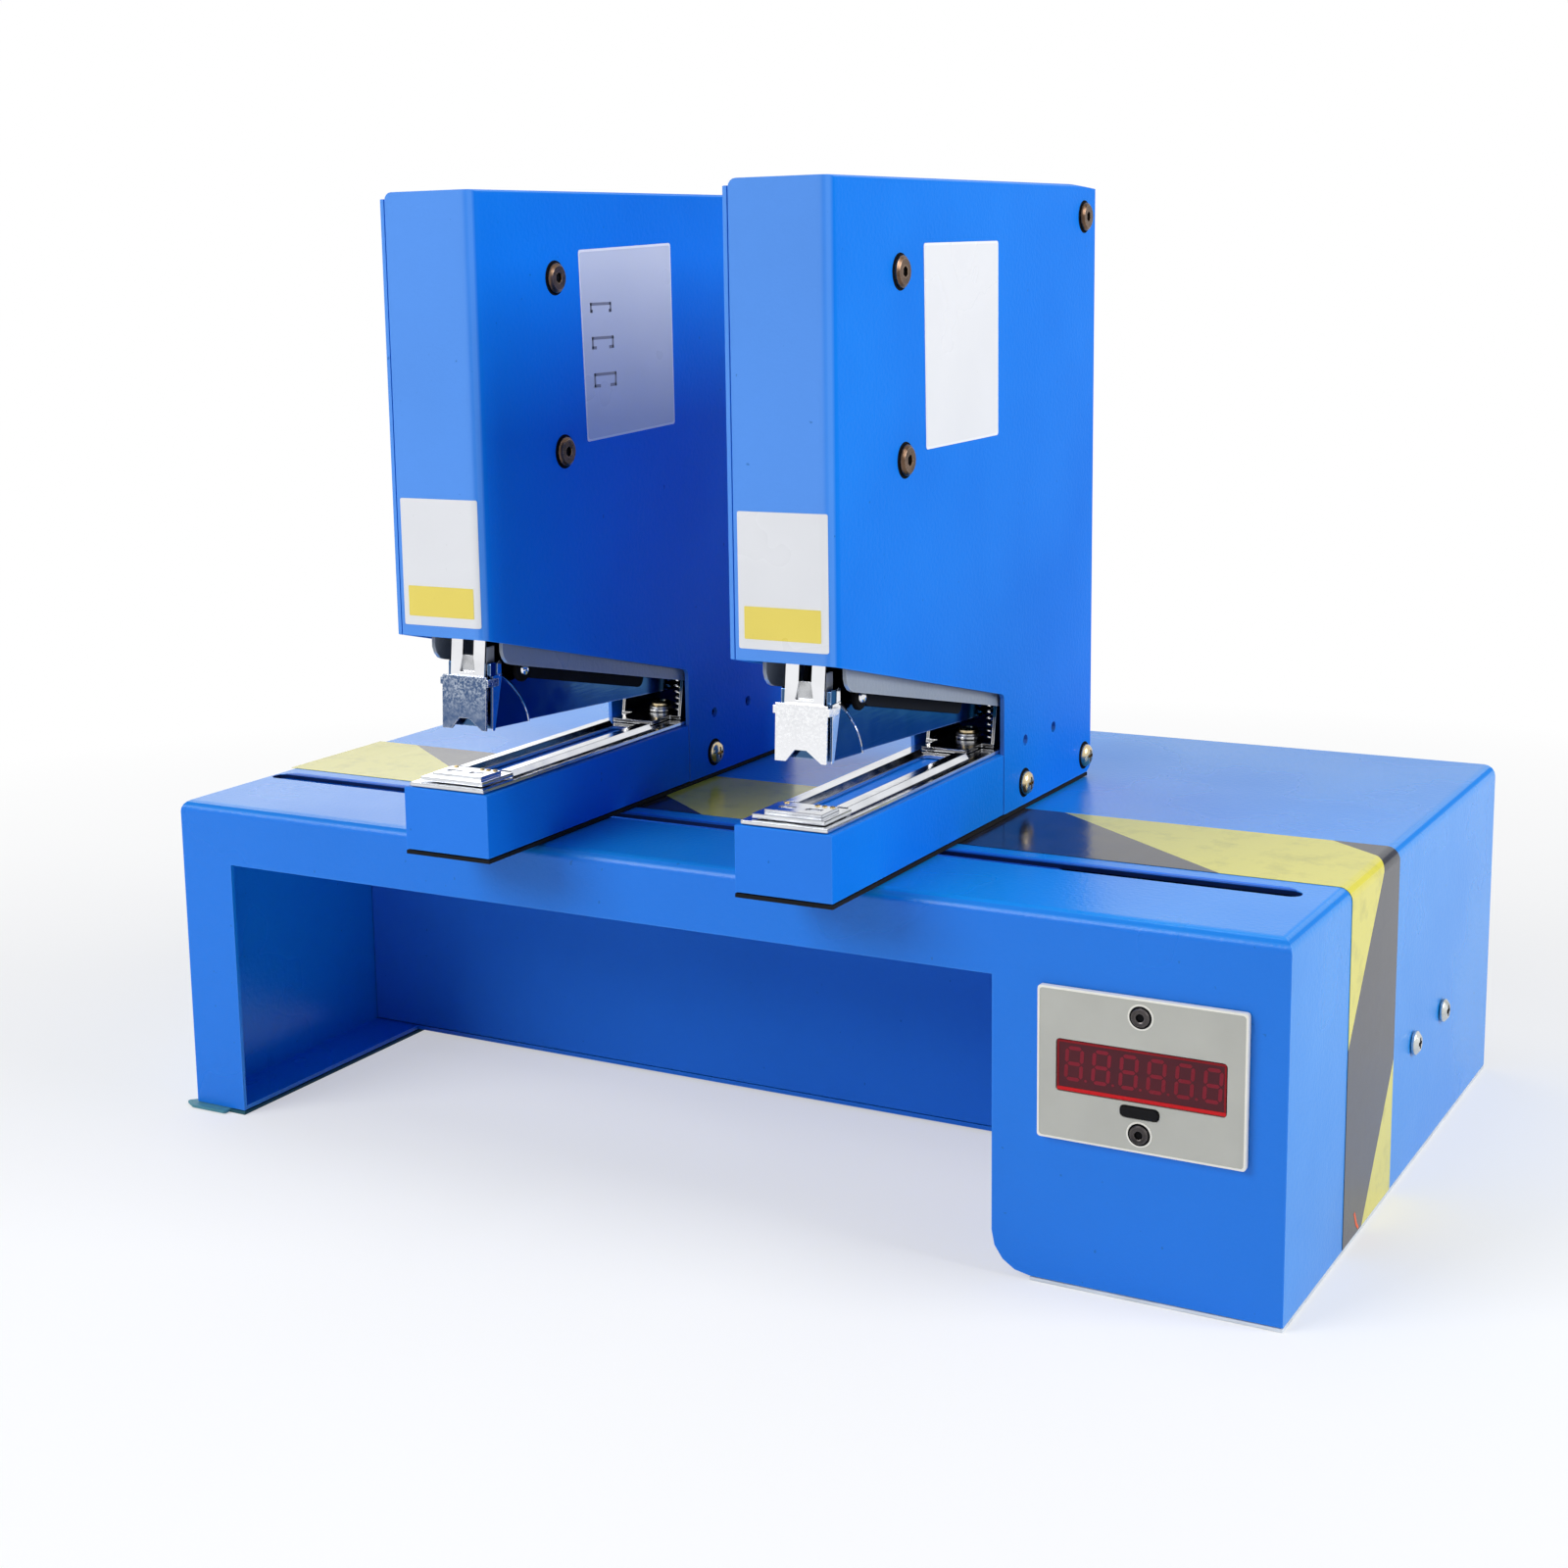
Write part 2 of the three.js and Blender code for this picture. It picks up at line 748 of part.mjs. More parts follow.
// A pan-head screw that goes through the right wall, with a cross in its head
function panScrew(y) {
  const seat = baseWidth + seatGap;
  const head = seat + valveScrewHeadHeight;
  const screw = turned(
    "x",
    [
      [0, seat - valveScrewLength],
      [valveScrewShank, seat - valveScrewLength],
      [valveScrewShank, seat],
      [valveScrewHead, seat],
      [valveScrewHead, seat + valveScrewHeadHeight / 2],
      [valveScrewCrown, head],
      [0, head],
    ],
    y,
    valveScrewZ,
  );
  const arm = valveScrewHead / 2;
  const across = crossWidth / 2;
  const deep = head - crossDepth;
  const flat = box(deep, head + overrun, y - arm, y + arm, valveScrewZ - across, valveScrewZ + across);
  const upright = box(deep, head + overrun, y - across, y + across, valveScrewZ - arm, valveScrewZ + arm);
  return cut(screw, flat, upright);
}

// Push-in air fitting and power socket, both clamped through the rear wall
function addInlets(base) {
  const inside = baseDepth - sheet - seatGap;
  const outside = baseDepth + seatGap;
  const collar = outside + airHexLength + airCollarLength;
  const airBody = turned(
    "y",
    [
      [0, inside - inletInside],
      [airThreadRadius, inside - inletInside],
      [airThreadRadius, outside + airHexLength],
      [airCollarRadius, outside + airHexLength],
      [airCollarRadius, collar],
      [0, collar],
    ],
    airInletX,
    inletZ,
  );
  const airFlats = ring(hexSides, airHexRadius, airInletX, inletZ);
  const airHex = slab("y", airFlats, outside, outside + airHexLength);
  const airNut = slab("y", airFlats, inside - airHexLength, inside);
  const airBore = rod("y", airTubeRadius, collar - airTubeDepth, collar + overrun, airInletX, inletZ);
  piece(base, "air_inlet", cut(join(airBody, airHex, airNut), airBore), brass);

  const face = outside + powerFlangeLength;
  const powerBody = turned(
    "y",
    [
      [0, inside - inletInside],
      [powerThreadRadius, inside - inletInside],
      [powerThreadRadius, outside],
      [powerFlangeRadius, outside],
      [powerFlangeRadius, face],
      [0, face],
    ],
    powerInletX,
    inletZ,
  );
  const powerFlats = ring(hexSides, powerFlangeRadius, powerInletX, inletZ);
  const powerNut = slab("y", powerFlats, inside - powerFlangeLength, inside);
  const powerBore = rod("y", powerBoreRadius, face - powerBoreDepth, face + overrun, powerInletX, inletZ);
  const middlePin = rod(
    "y",
    powerPinRadius,
    face - powerBoreDepth - overrun,
    face - powerFlangeLength / 2,
    powerInletX,
    inletZ,
    coarseSteps,
  );
  piece(base, "power_inlet", join(cut(join(powerBody, powerNut), powerBore), middlePin), blackPlastic);
}

function addBase(parent) {
  const base = new THREE.Group();
  parent.add(base);
  piece(base, "base_shell", baseShell(), bluePaint);
  piece(base, "inner_panel", innerPanel(), bluePaint);
  piece(base, "base_tray", baseTray(), bluePaint);
  const leftPad = box(-padProud, legWidth + padProud, -padProud, baseDepth, 0, padThickness);
  piece(base, "pad_left", leftPad, tealRubber);
  const rightPad = box(boxLeft + boxCorner, baseWidth, 0, baseDepth, 0, padThickness);
  piece(base, "pad_right", rightPad, paleFoam);
  addCounter(base);
  addValve(base);
  addInlets(base);
}

// Side view of a head's shells: a tall plate with a foot behind the throat
function headSide(topZ) {
  return [
    [headFrontY, throatFrontZ],
    [throatBackY, throatBackZ, throatFillet],
    [throatBackY, armBottomZ],
    [headBackY - footChamferY, armBottomZ],
    [headBackY, armBottomZ + footChamferZ],
    [headBackY, topZ - headRearDrop],
    [headBackY - headRearSlope, topZ],
    [headFrontY, topZ],
  ];
}

const tiePlaces = [
  ["tie_bolt_upper", cylinderBackY - tieUpperFromBack, cylinderTopZ - tieFromEnd],
  ["tie_bolt_lower", cylinderBackY - tieLowerFromBack, cylinderBottomZ + tieFromEnd],
  ["tie_bolt_rear", headBackY - tieRearFromBack, headTopZ - tieRearFromTop],
];

function tieHoles() {
  return tiePlaces.map(([, y, z]) => bore("x", tieRadius, -headWidth, headWidth, y, z));
}

// Right side, front, top and rear of a head in one sheet, open to the left and below
function headShell() {
  const low = armBottomZ - overrun;
  const outer = common(
    slab("x", headSide(headTopZ), -headHalf, headHalf),
    slab(
      "z",
      [
        [-headHalf, headFrontY],
        [headHalf, headFrontY, headBend],
        [headHalf, headBackY, sheet],
        [-headHalf, headBackY],
      ],
      low,
      headTopZ + overrun,
    ),
    slab(
      "y",
      [
        [-headHalf, low],
        [headHalf, low],
        [headHalf, headTopZ, sheet],
        [-headHalf, headTopZ, headFreeCorner],
      ],
      headFrontY - overrun,
      headBackY + overrun,
    ),
  );
  const front = headFrontY + sheet;
  const back = headBackY - sheet;
  const inner = common(
    slab(
      "x",
      [
        [front, low],
        [front, headTopZ - sheet],
        [headBackY - headRearSlope, headTopZ - sheet],
        [back, headTopZ - headRearDrop - sheet],
        [back, low],
      ],
      -headHalf - overrun,
      headInner,
    ),
    slab(
      "z",
      [
        [-headHalf - overrun, front],
        [headInner, front, headBend - sheet],
        [headInner, back],
        [-headHalf - overrun, back],
      ],
      low - overrun,
      headTopZ,
    ),
  );
  const spareY = throatBackY + spareHoleBehindThroat;
  const spareZ = armBottomZ + spareHoleHeight;
  const spareHoles = [spareY, spareY + spareHoleSpacing].map((y) =>
    rod("x", spareHoleRadius, headInner - overrun, headHalf + overrun, y, spareZ, coarseSteps),
  );
  const hoseZ = armBottomZ + hoseHoleHeight;
  const hoseHole = rod("y", hoseHoleRadius, back - overrun, headBackY + overrun, 0, hoseZ);
  return cut(outer, inner, ...tieHoles(), ...spareHoles, hoseHole);
}

function sideCover() {
  const plate = slab("x", headSide(headTopZ - sideCoverDrop), sideCoverInner - sheet, sideCoverInner);
  return cut(plate, ...tieHoles());
}

// A bolt with a low socket head on each side, through both shells
function tieBolt(y, z) {
  const left = sideCoverInner - sheet - seatGap;
  const right = headHalf + seatGap;
  const rim = tieHeadHeight / 2;
  const bolt = turned(
    "x",
    [
      [0, left - tieHeadHeight],
      [tieHeadCrown, left - tieHeadHeight],
      [tieHeadRadius, left - rim],
      [tieHeadRadius, left],
      [tieRadius, left],
      [tieRadius, right],
      [tieHeadRadius, right],
      [tieHeadRadius, right + rim],
      [tieHeadCrown, right + tieHeadHeight],
      [0, right + tieHeadHeight],
    ],
    y,
    z,
  );
  const socket = ring(hexSides, tieSocketRadius, y, z);
  const end = right + tieHeadHeight;
  const start = left - tieHeadHeight;
  return cut(
    bolt,
    slab("x", socket, end - tieSocketDepth, end + overrun),
    slab("x", socket, start - overrun, start + tieSocketDepth),
  );
}

// Arm: an upside-down channel that runs on inside the head, with a web for the clamp bolt
function arm() {
  const seamY = throatBackY - seatGap;
  const tailRight = headInner - seatGap;
  const outer = join(
    box(-headHalf, headHalf, armFrontY, seamY, armBottomZ, armTopZ),
    box(-headHalf, tailRight, seamY - overrun, armBackY, armBottomZ, armTopZ),
  );
  const top = armTopZ - armWall;
  const low = armBottomZ - overrun;
  const hollow = join(
    box(armWall - headHalf, headHalf - armWall, armFrontY + armWall, seamY - armWall, low, top),
    box(armWall - headHalf, tailRight - armWall, seamY - armWall - overrun, armBackY - armWall, low, top),
  );
  const webFront = slotY - armWebLength / 2;
  const webTop = armBottomZ + armWebThickness;
  const webHalf = headHalf - armWall / 2;
  const web = box(-webHalf, webHalf, webFront, webFront + armWebLength, armBottomZ, webTop);
  const boltHole = bore("z", clampRadius, low, webTop + overrun, 0, slotY);
  return cut(join(cut(outer, hollow), web), boltHole);
}

function armPad() {
  const bottom = baseHeight + seatGap;
  const back = headBackY - footChamferY;
  const plate = box(-headHalf, headHalf, armFrontY, back, bottom, bottom + armPadThickness);
  return cut(plate, bore("z", clampRadius, bottom - overrun, armBottomZ, 0, slotY));
}

const knobTopZ = ceiling - seatGap;
const knobBottomZ = knobTopZ - knobBossHeight - knobHeight;

function clampBolt() {
  const seat = armBottomZ + armWebThickness + seatGap;
  const shank = rod("z", clampRadius, knobBottomZ - clampBelowKnob, seat + overrun, 0, slotY);
  const head = slab("z", ring(hexSides, clampHeadRadius, 0, slotY), seat, seat + clampHeadHeight);
  return join(shank, head);
}

function clampKnob() {
  const steps = knobLobes * knobLobeSteps;
  const corners = Array.from({ length: steps }, (_, i) => {
    const angle = (2 * Math.PI * i) / steps;
    const radius = knobRadius - (knobFlute * (1 - Math.cos(knobLobes * angle))) / 2;
    return [radius * Math.cos(angle), slotY + radius * Math.sin(angle)];
  });
  const grip = slab("z", corners, knobBottomZ, knobBottomZ + knobHeight);
  const boss = rod("z", knobBossRadius, knobBottomZ + knobHeight / 2, knobTopZ, 0, slotY);
  return cut(join(grip, boss), bore("z", clampRadius, knobBottomZ - overrun, knobTopZ + overrun, 0, slotY));
}

// Anvil base: a plate with two long rails beside a long gap
function anvilBase() {
  const half = anvilBaseHalf;
  const plate = box(-half, half, anvilBaseFrontY, anvilBaseBackY, anvilBaseZ, anvilBaseTopZ);
  const slope = (railOuter - railInner - railTopWidth) / 2;
  const railTop = anvilBaseTopZ + railHeight;
  const inPlate = anvilBaseTopZ - anvilBaseThickness / 2;
  const rails = [-1, 1].map((side) =>
    slab(
      "y",
      [
        [side * railInner, inPlate],
        [side * railOuter, inPlate],
        [side * (railOuter - slope), railTop],
        [side * (railInner + slope), railTop],
      ],
      railFrontY,
      railBackY,
    ),
  );
  const gap = slab(
    "z",
    rectangle(-railInner, railInner, railFrontY, railBackY, railInner / 2),
    anvilBaseZ - overrun,
    railTop + overrun,
  );
  return cut(join(plate, ...rails), gap);
}

// Anvil: a stepped block with the two grooves that fold the staple's legs
function anvil() {
  const plateTop = anvilZ + anvilHeight + anvilPlateHeight;
  const block = box(-anvilHalf, anvilHalf, anvilFrontY, anvilBackY, anvilZ, anvilZ + anvilHeight);
  const middle = anvilFrontY + anvilLength / 2;
  const plate = box(
    -anvilPlateHalf,
    anvilPlateHalf,
    middle - anvilPlateLength / 2,
    middle + anvilPlateLength / 2,
    anvilZ,
    plateTop,
  );
  const grooveY = pivotY - Math.hypot(noseU, noseBottom);
  const grooves = [-1, 1].map((side) => {
    const x = side * grooveOffset;
    const low = grooveY - grooveHalf;
    const corners = rectangle(x - grooveReach, x + grooveReach, low, grooveY + grooveHalf, grooveHalf / 2);
    return slab("z", corners, plateTop - grooveDepth, plateTop + overrun);
  });
  return cut(join(block, plate), ...grooves);
}

// Hinge bracket: a foot plate and two ears that carry the pin
function hingeBracket() {
  const earFrontY = pivotY - earReachBottom;
  const foot = join(
    box(-bracketPlateHalf, bracketPlateHalf, bracketPlateFrontY, anvilBaseBackY, bracketZ, bracketTopZ),
    box(-earOuter, earOuter, earFrontY, anvilBaseBackY, bracketZ, bracketTopZ),
  );
  const top = pivotZ + earAbovePin;
  const ears = [-1, 1].map((side) => {
    const inner = side * earInner;
    const outer = side * earOuter;
    return slab(
      "x",
      [
        [earFrontY, bracketZ],
        [anvilBaseBackY, bracketZ],
        [pivotY + earBehind, top, earCorner],
        [pivotY - earReachTop, top, earCorner],
      ],
      Math.min(inner, outer),
      Math.max(inner, outer),
    );
  });
  return cut(join(foot, ...ears), bore("x", pinRadius, -headWidth, headWidth, pivotY, pivotZ));
}

function hingePin() {
  const end = coverHalf + seatGap;
  return turned(
    "x",
    [
      [0, -end - pinHeadHeight],
      [pinHeadRadius, -end - pinHeadHeight],
      [pinHeadRadius, -end],
      [pinRadius, -end],
      [pinRadius, end],
      [0, end],
    ],
    pivotY,
    pivotZ,
  );
}

// Coil spring: one tube along a helix, with straight ends that stand square on their seats
function returnSpring(bottom, top) {
  const low = bottom + springWire;
  const high = top - springWire;
  const steps = springTurns * springSteps;
  const path = [[0, bottom]];
  for (let i = 0; i <= steps; i += 1) {
    path.push([(2 * Math.PI * i) / springSteps, low + ((high - low) * i) / steps]);
  }
  path.push([path.at(-1)[0], top]);
  const points = path.map(
    ([angle, z]) => new THREE.Vector3(springRadius * Math.cos(angle), springRadius * Math.sin(angle), z),
  );
  const rings = points.map((point, i) => {
    const before = points[Math.max(i - 1, 0)];
    const after = points[Math.min(i + 1, points.length - 1)];
    const along = after.clone().sub(before).normalize();
    const outwards = new THREE.Vector3(Math.cos(path[i][0]), Math.sin(path[i][0]), 0);
    const sideways = along.clone().cross(outwards).normalize();
    outwards.crossVectors(sideways, along);
    return Array.from({ length: springSides }, (_, k) => {
      const turn = (2 * Math.PI * k) / springSides;
      const spoke = outwards.clone().multiplyScalar(Math.cos(turn)).addScaledVector(sideways, Math.sin(turn));
      return spoke.multiplyScalar(springWire / 2).add(point);
    });
  });
  return closedTube(rings);
}

// Joins rings of points into one closed tube with flat ends
function closedTube(rings) {
  const sides = rings[0].length;
  const positions = rings.flat().flatMap((p) => [p.x, p.y, p.z]);
  const index = [];
  for (let i = 0; i + 1 < rings.length; i += 1) {
    for (let k = 0; k < sides; k += 1) {
      const a = i * sides + k;
      const b = i * sides + ((k + 1) % sides);
      index.push(a, b, a + sides, b, b + sides, a + sides);
    }
  }
  const last = (rings.length - 1) * sides;
  for (let k = 1; k + 1 < sides; k += 1) {
    index.push(0, k + 1, k, last, last + k, last + k + 1);
  }
  const geometry = new THREE.BufferGeometry();
  geometry.setAttribute("position", new THREE.Float32BufferAttribute(positions, 3));
  geometry.setIndex(index);
  return geometry;
}

// Least gap between one turn of a spring and the next, measured on its points
function leastGap(geometry) {
  const place = geometry.getAttribute("position");
  const turn = springSteps * springSides;
  let least = Infinity;
  for (let i = 0; i < place.count; i += 1) {
    const from = new THREE.Vector3().fromBufferAttribute(place, i);
    for (let k = i + (turn * 3) / 4; k < Math.min(place.count, i + (turn * 5) / 4); k += 1) {
      least = Math.min(least, from.distanceTo(new THREE.Vector3().fromBufferAttribute(place, k)));
    }
  }
  return least;
}

// Core of the magazine: the upside-down channel that the staples ride on, closed at its nose.
// From here on a piece on the pin is drawn level, with y counted back from the pin and z up from it.
function magazineCore(floorTop) {
  const bottom = floorTop - magazineWall / 2;
  const hollowHalf = coreHalf - magazineWall;
  const hollowFront = magazineWall - coreFrontU;
  return cut(
    box(-coreHalf, coreHalf, -coreFrontU, -coreBackU, bottom, coreTop),
    box(-hollowHalf, hollowHalf, hollowFront, overrun - coreBackU, bottom - overrun, coreTop - magazineWall),
  );
}

// Magazine: a channel with a core, a cheek on each side of its nose and a lug on the return spring
function magazine() {
  const front = -magazineFrontU;
  const wallOutline = [
    [magazineBehindPin, -magazineBelowPin],
    [magazineBehindPin, magazineRearTop],
    [-magazineStepU, magazineRearTop],
    [-magazineRiseU, magazineFrontTop],
    [front, magazineFrontTop],
    [front, -magazineBelowPin],
  ];
  const inner = magazineInner;
  const floorTop = magazineWall - magazineBelowPin;
  const channel = cut(
    slab("x", wallOutline, -magazineHalf, magazineHalf),
    box(-inner, inner, front - overrun, magazineBehindPin + overrun, floorTop, magazineFrontTop + overrun),
    box(-inner, inner, front - overrun, -stickFrontU, -magazineBelowPin - overrun, magazineFrontTop),
  );
  const cheekOutline = [
    [front, -cheekBottom],
    [front, cheekTop, magazineWall],
    [-cheekHookBackU, cheekTop, magazineWall],
    [-cheekHookBackU, cheekHookBottom],
    [-cheekBendU, cheekBendHeight, cheekCurve],
    [-cheekBottomU, -cheekBottom],
  ];
  const cheeks = [-1, 1].map((side) => {
    const near = side * inner;
    const far = side * (magazineHalf + cheekThickness);
    return slab("x", cheekOutline, Math.min(near, far), Math.max(near, far));
  });
  const lugY = springY - pivotY;
  const lug = box(
    inner,
    earInner - seatGap,
    lugY - lugHalfLength,
    lugY + lugHalfLength,
    magazineRearTop - lugThickness,
    magazineRearTop,
  );
  const whole = join(channel, ...cheeks, magazineCore(floorTop), lug);
  return cut(whole, bore("x", pinRadius, -headWidth, headWidth, 0, 0));
}

// Nose plate with its notched foot and the two tabs that hook round the cheeks
function nosePlate() {
  const front = -noseU;
  const back = noseThickness - noseU;
  const plate = slab(
    "y",
    [
      [-noseHalf, -noseBottom],
      [-noseNotchLeft, -noseBottom],
      [-noseNotchFlat, noseNotch - noseBottom],
      [noseNotchFlat, noseNotch - noseBottom],
      [noseNotchRight, -noseBottom],
      [noseHalf, -noseBottom],
      [noseHalf, noseTop],
      [-noseHalf, noseTop],
    ],
    front,
    back,
  );
  const tabs = [-1, 1].map((side) => {
    const near = side * (magazineHalf + cheekThickness + seatGap);
    const far = near + side * noseThickness;
    const root = side * noseTabRoot;
    const top = noseTop - noseThickness;
    const bottom = top - noseTabHeight;
    const end = back + cheekBehindNose + noseTabHold;
    return join(
      box(Math.min(near, far), Math.max(near, far), front, end, bottom, top),
      box(Math.min(root, far), Math.max(root, far), front, back, bottom, top),
    );
  });
  return join(plate, ...tabs);
}

// End view of a staple: its crown and two legs
function stapleOutline() {
  const half = stapleCrown / 2;
  return [
    [-half, stickBottom],
    [-half, stickTop],
    [half, stickTop],
    [half, stickBottom],
    [half - stapleWire, stickBottom],
    [half - stapleWire, stickTop - stapleWire],
    [stapleWire - half, stickTop - stapleWire],
    [stapleWire - half, stickBottom],
  ];
}

function stapleStick() {
  return slab("y", stapleOutline(), -stickFrontU, -stickBackU);
}

// Pusher: a saddle with the staples' outline, and a strip behind it
function pusher() {
  const front = seatGap - stickBackU;
  const back = front + pusherLength;
  const saddle = slab("y", stapleOutline(), front, back);
  const low = stickTop - stapleWire;
  const half = pusherStripHalf;
  const strip = box(-half, half, back - overrun, back + pusherStripLength, low, stickTop);
  return join(saddle, strip);
}

// Handle cover: an upside-down channel over the magazine
function handleCover() {
  const side = [
    [coverBehindPin, -coverBelowPin, coverRearCorner],
    [coverBehindPin, coverTop, coverRearCorner],
    [-coverReach, coverTop, coverRearCorner],
    [-coverReach, -coverBelowPin, coverFrontCorner],
  ];
  const hollow = box(
    -coverInner,
    coverInner,
    -coverReach - overrun,
    coverBehindPin + overrun,
    -coverBelowPin - overrun,
    coverTop - coverWall,
  );
  const pinHole = bore("x", pinRadius, -headWidth, headWidth, 0, 0);
  return cut(slab("x", side, -coverHalf, coverHalf), hollow, pinHole);
}

// Driver lever: the black channel between the cover and the magazine
function driverLever() {
  const top = coverTop - coverWall - seatGap;
  const side = [
    [-leverFrontU, -leverBelowPin, leverCorner],
    [-leverFrontU, top],
    [-leverBackU, top],
    [-leverBackU, -leverBelowPin, leverCorner],
  ];
  const inner = leverHalf - leverWall;
  const hollow = box(
    -inner,
    inner,
    -leverFrontU - overrun,
    overrun - leverBackU,
    -leverBelowPin - overrun,
    top - leverWall,
  );
  return cut(slab("x", side, -leverHalf, leverHalf), hollow);
}

// Driver: a slotted blade in front of the staples, with a flange under the cover
function driver() {
  const front = -driverU;
  const blade = slab(
    "y",
    rectangle(-driverHalf, driverHalf, driverEnd, driverTop),
    front,
    front + driverThickness,
  );
  const slot = slab(
    "y",
    [
      [-driverSlotBottomHalf, driverSlotBottom],
      [-driverSlotHalf, driverSlotBottom + driverSlotFlare],
      [-driverSlotHalf, driverSlotTop],
      [driverSlotHalf, driverSlotTop],
      [driverSlotHalf, driverSlotBottom + driverSlotFlare],
      [driverSlotBottomHalf, driverSlotBottom],
    ],
    front - overrun,
    front + driverThickness + overrun,
  );
  const slotted = cut(blade, slot).rotateX(coverSlope - driverSlope);
  const top = coverTop - coverWall - seatGap;
  const ceilingCut = box(-headHalf, headHalf, -headBackY, headBackY, top, top + headWidth);
  const flange = box(-driverHalf, driverHalf, -coverReach, -flangeBackU, top - flangeThickness, top);
  return join(cut(slotted, ceilingCut), flange);
}

// Air cylinder between the shells, with a bore for its rod and a port behind
function cylinder() {
  const plan = rectangle(-headHalf, headInner - seatGap, cylinderFrontY, cylinderBackY, cylinderCorner);
  const block = slab("z", plan, cylinderBottomZ, cylinderTopZ);
  const rodBore = bore("z", rodRadius, cylinderBottomZ - overrun, rodTopZ + overrun, 0, pressY);
  const portZ = (cylinderBottomZ + cylinderTopZ) / 2;
  const portEnd = cylinderBackY + portLength;
  const port = rod("y", rodRadius, cylinderBackY - overrun, portEnd, 0, portZ);
  const portBore = rod("y", portBoreRadius, portEnd - portBoreDepth, portEnd + overrun, 0, portZ);
  return cut(join(block, port), rodBore, ...tieHoles().slice(0, 2), portBore);
}

// Piston rod with the round-faced foot that presses on the handle cover
function pistonRod() {
  const centreZ = pivotZ + footCentre(coverSlope);
  const steps = 4;
  const reach = Math.asin(footRadius / footCurve);
  const face = Array.from({ length: steps + 1 }, (_, i) => {
    const angle = (reach * i) / steps;
    return [footCurve * Math.sin(angle), centreZ - footCurve * Math.cos(angle)];
  });
  return turned(
    "z",
    [
      ...face,
      [footRadius, footTopZ],
      [rodRadius, footTopZ],
      [rodRadius, rodTopZ],
      [0, rodTopZ],
    ],
    0,
    pressY,
  );
}

// A group on the hinge pin, turned up by its slope
function onPin(parent, slope) {
  const group = new THREE.Group();
  group.position.set(0, pivotY, pivotZ);
  group.rotation.x = -slope;
  parent.add(group);
  return group;
}

function addHead(parent, prefix, x) {
  const head = new THREE.Group();
  head.position.x = x;
  parent.add(head);
  const add = (group, name, geometry, material) => piece(group, prefix + name, geometry, material);
  add(head, "head_shell", headShell(), bluePaint);
  add(head, "side_cover", sideCover(), bluePaint);
  add(head, "arm", arm(), bluePaint);
  add(head, "arm_pad", armPad(), blackRubber);
  add(head, "clamp_bolt", clampBolt(), steel);
  add(head, "clamp_knob", clampKnob(), blackPlastic);
  add(head, "anvil_base", anvilBase(), chrome);
  add(head, "anvil", anvil(), chrome);
  add(head, "hinge_bracket", hingeBracket(), chrome);
  add(head, "hinge_pin", hingePin(), steel);
  add(head, "cylinder", cylinder(), aluminium);
  add(head, "piston_rod", pistonRod(), steel);
  tiePlaces.forEach(([name, y, z]) => add(head, name, tieBolt(y, z), blackOxide));

  const lugOverPin = (magazineRearTop - lugThickness) * Math.cos(magazineSlope);
  const lugBottom = pivotZ + springReach * Math.sin(magazineSlope) + lugOverPin;
  const springRise = (springRadius + springWire) * Math.sin(magazineSlope);
  const spring = returnSpring(bracketTopZ + seatGap, lugBottom - seatGap - springRise);
  add(head, "return_spring", spring, steel).position.set(springX, springY, 0);

  const low = onPin(head, magazineSlope);
  add(low, "magazine", magazine(), chrome);
  add(low, "nose_plate", nosePlate(), chrome);
  add(low, "staple_stick", stapleStick(), steel);
  add(low, "pusher", pusher(), steel);

  const high = onPin(head, coverSlope);
  add(high, "handle_cover", handleCover(), greyPaint);
  add(high, "driver_lever", driverLever(), blackPlastic);
  add(high, "driver", driver(), chrome);
  return spring;
}

// The whole machine, and the move that puts the origin under its middle
const machine = new THREE.Group();
machine.name = "bench_stapler";
addBase(machine);
const spring = addHead(machine, "left_", leftHeadX);
addHead(machine, "right_", leftHeadX + headPitch);

const rightEnd = baseWidth + seatGap + valveScrewHeadHeight;
const rearEnd = baseDepth + seatGap + airHexLength + airCollarLength;
machine.position.set((padProud - rightEnd) / 2, -(armFrontY + rearEnd) / 2, 0);

const deg = THREE.MathUtils.radToDeg;
machine.userData.motion = {
  origin: machine.position.toArray(),
  heads: { left: leftHeadX, right: leftHeadX + headPitch },
  pivot: [pivotY, pivotZ],
  slot: [slotLeft + slotWidth / 2, slotRight - slotWidth / 2, slotY],
  reach: {
    coverLeft: sideCoverInner - sheet - seatGap - tieHeadHeight,
    boltRight: headHalf + seatGap + tieHeadHeight,
  },
  clampRadius,
  knobRadius,
  knobZ: [knobBottomZ, knobTopZ],
  recess: [legWidth, boxLeft],
  pressTravel,
  pressY,
  closeTurn,
  driveTurn,
  magazineSlope,
  pusherTravel,
  buttonTravel,
  button: [bezelMiddleX, buttonZ],
  springBottom: bracketTopZ + seatGap,
};

console.log(`spring: least gap between turns ${leastGap(spring).toFixed(2)} mm`);
console.log(`press travel ${pressTravel.toFixed(2)} mm`);
console.log(`magazine closes by ${deg(closeTurn).toFixed(3)} degrees`);
console.log(`cover drives by ${deg(driveTurn).toFixed(3)} degrees more`);

export default machine;
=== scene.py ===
"""Looks of the twin-head bench stapler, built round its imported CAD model.

Lengths are in millimetres from the table's front left corner on the floor, as in the CAD source, and at()
turns them into the row frame's metres.
"""

import math

import bmesh
import bpy
from mathutils import Matrix, Vector


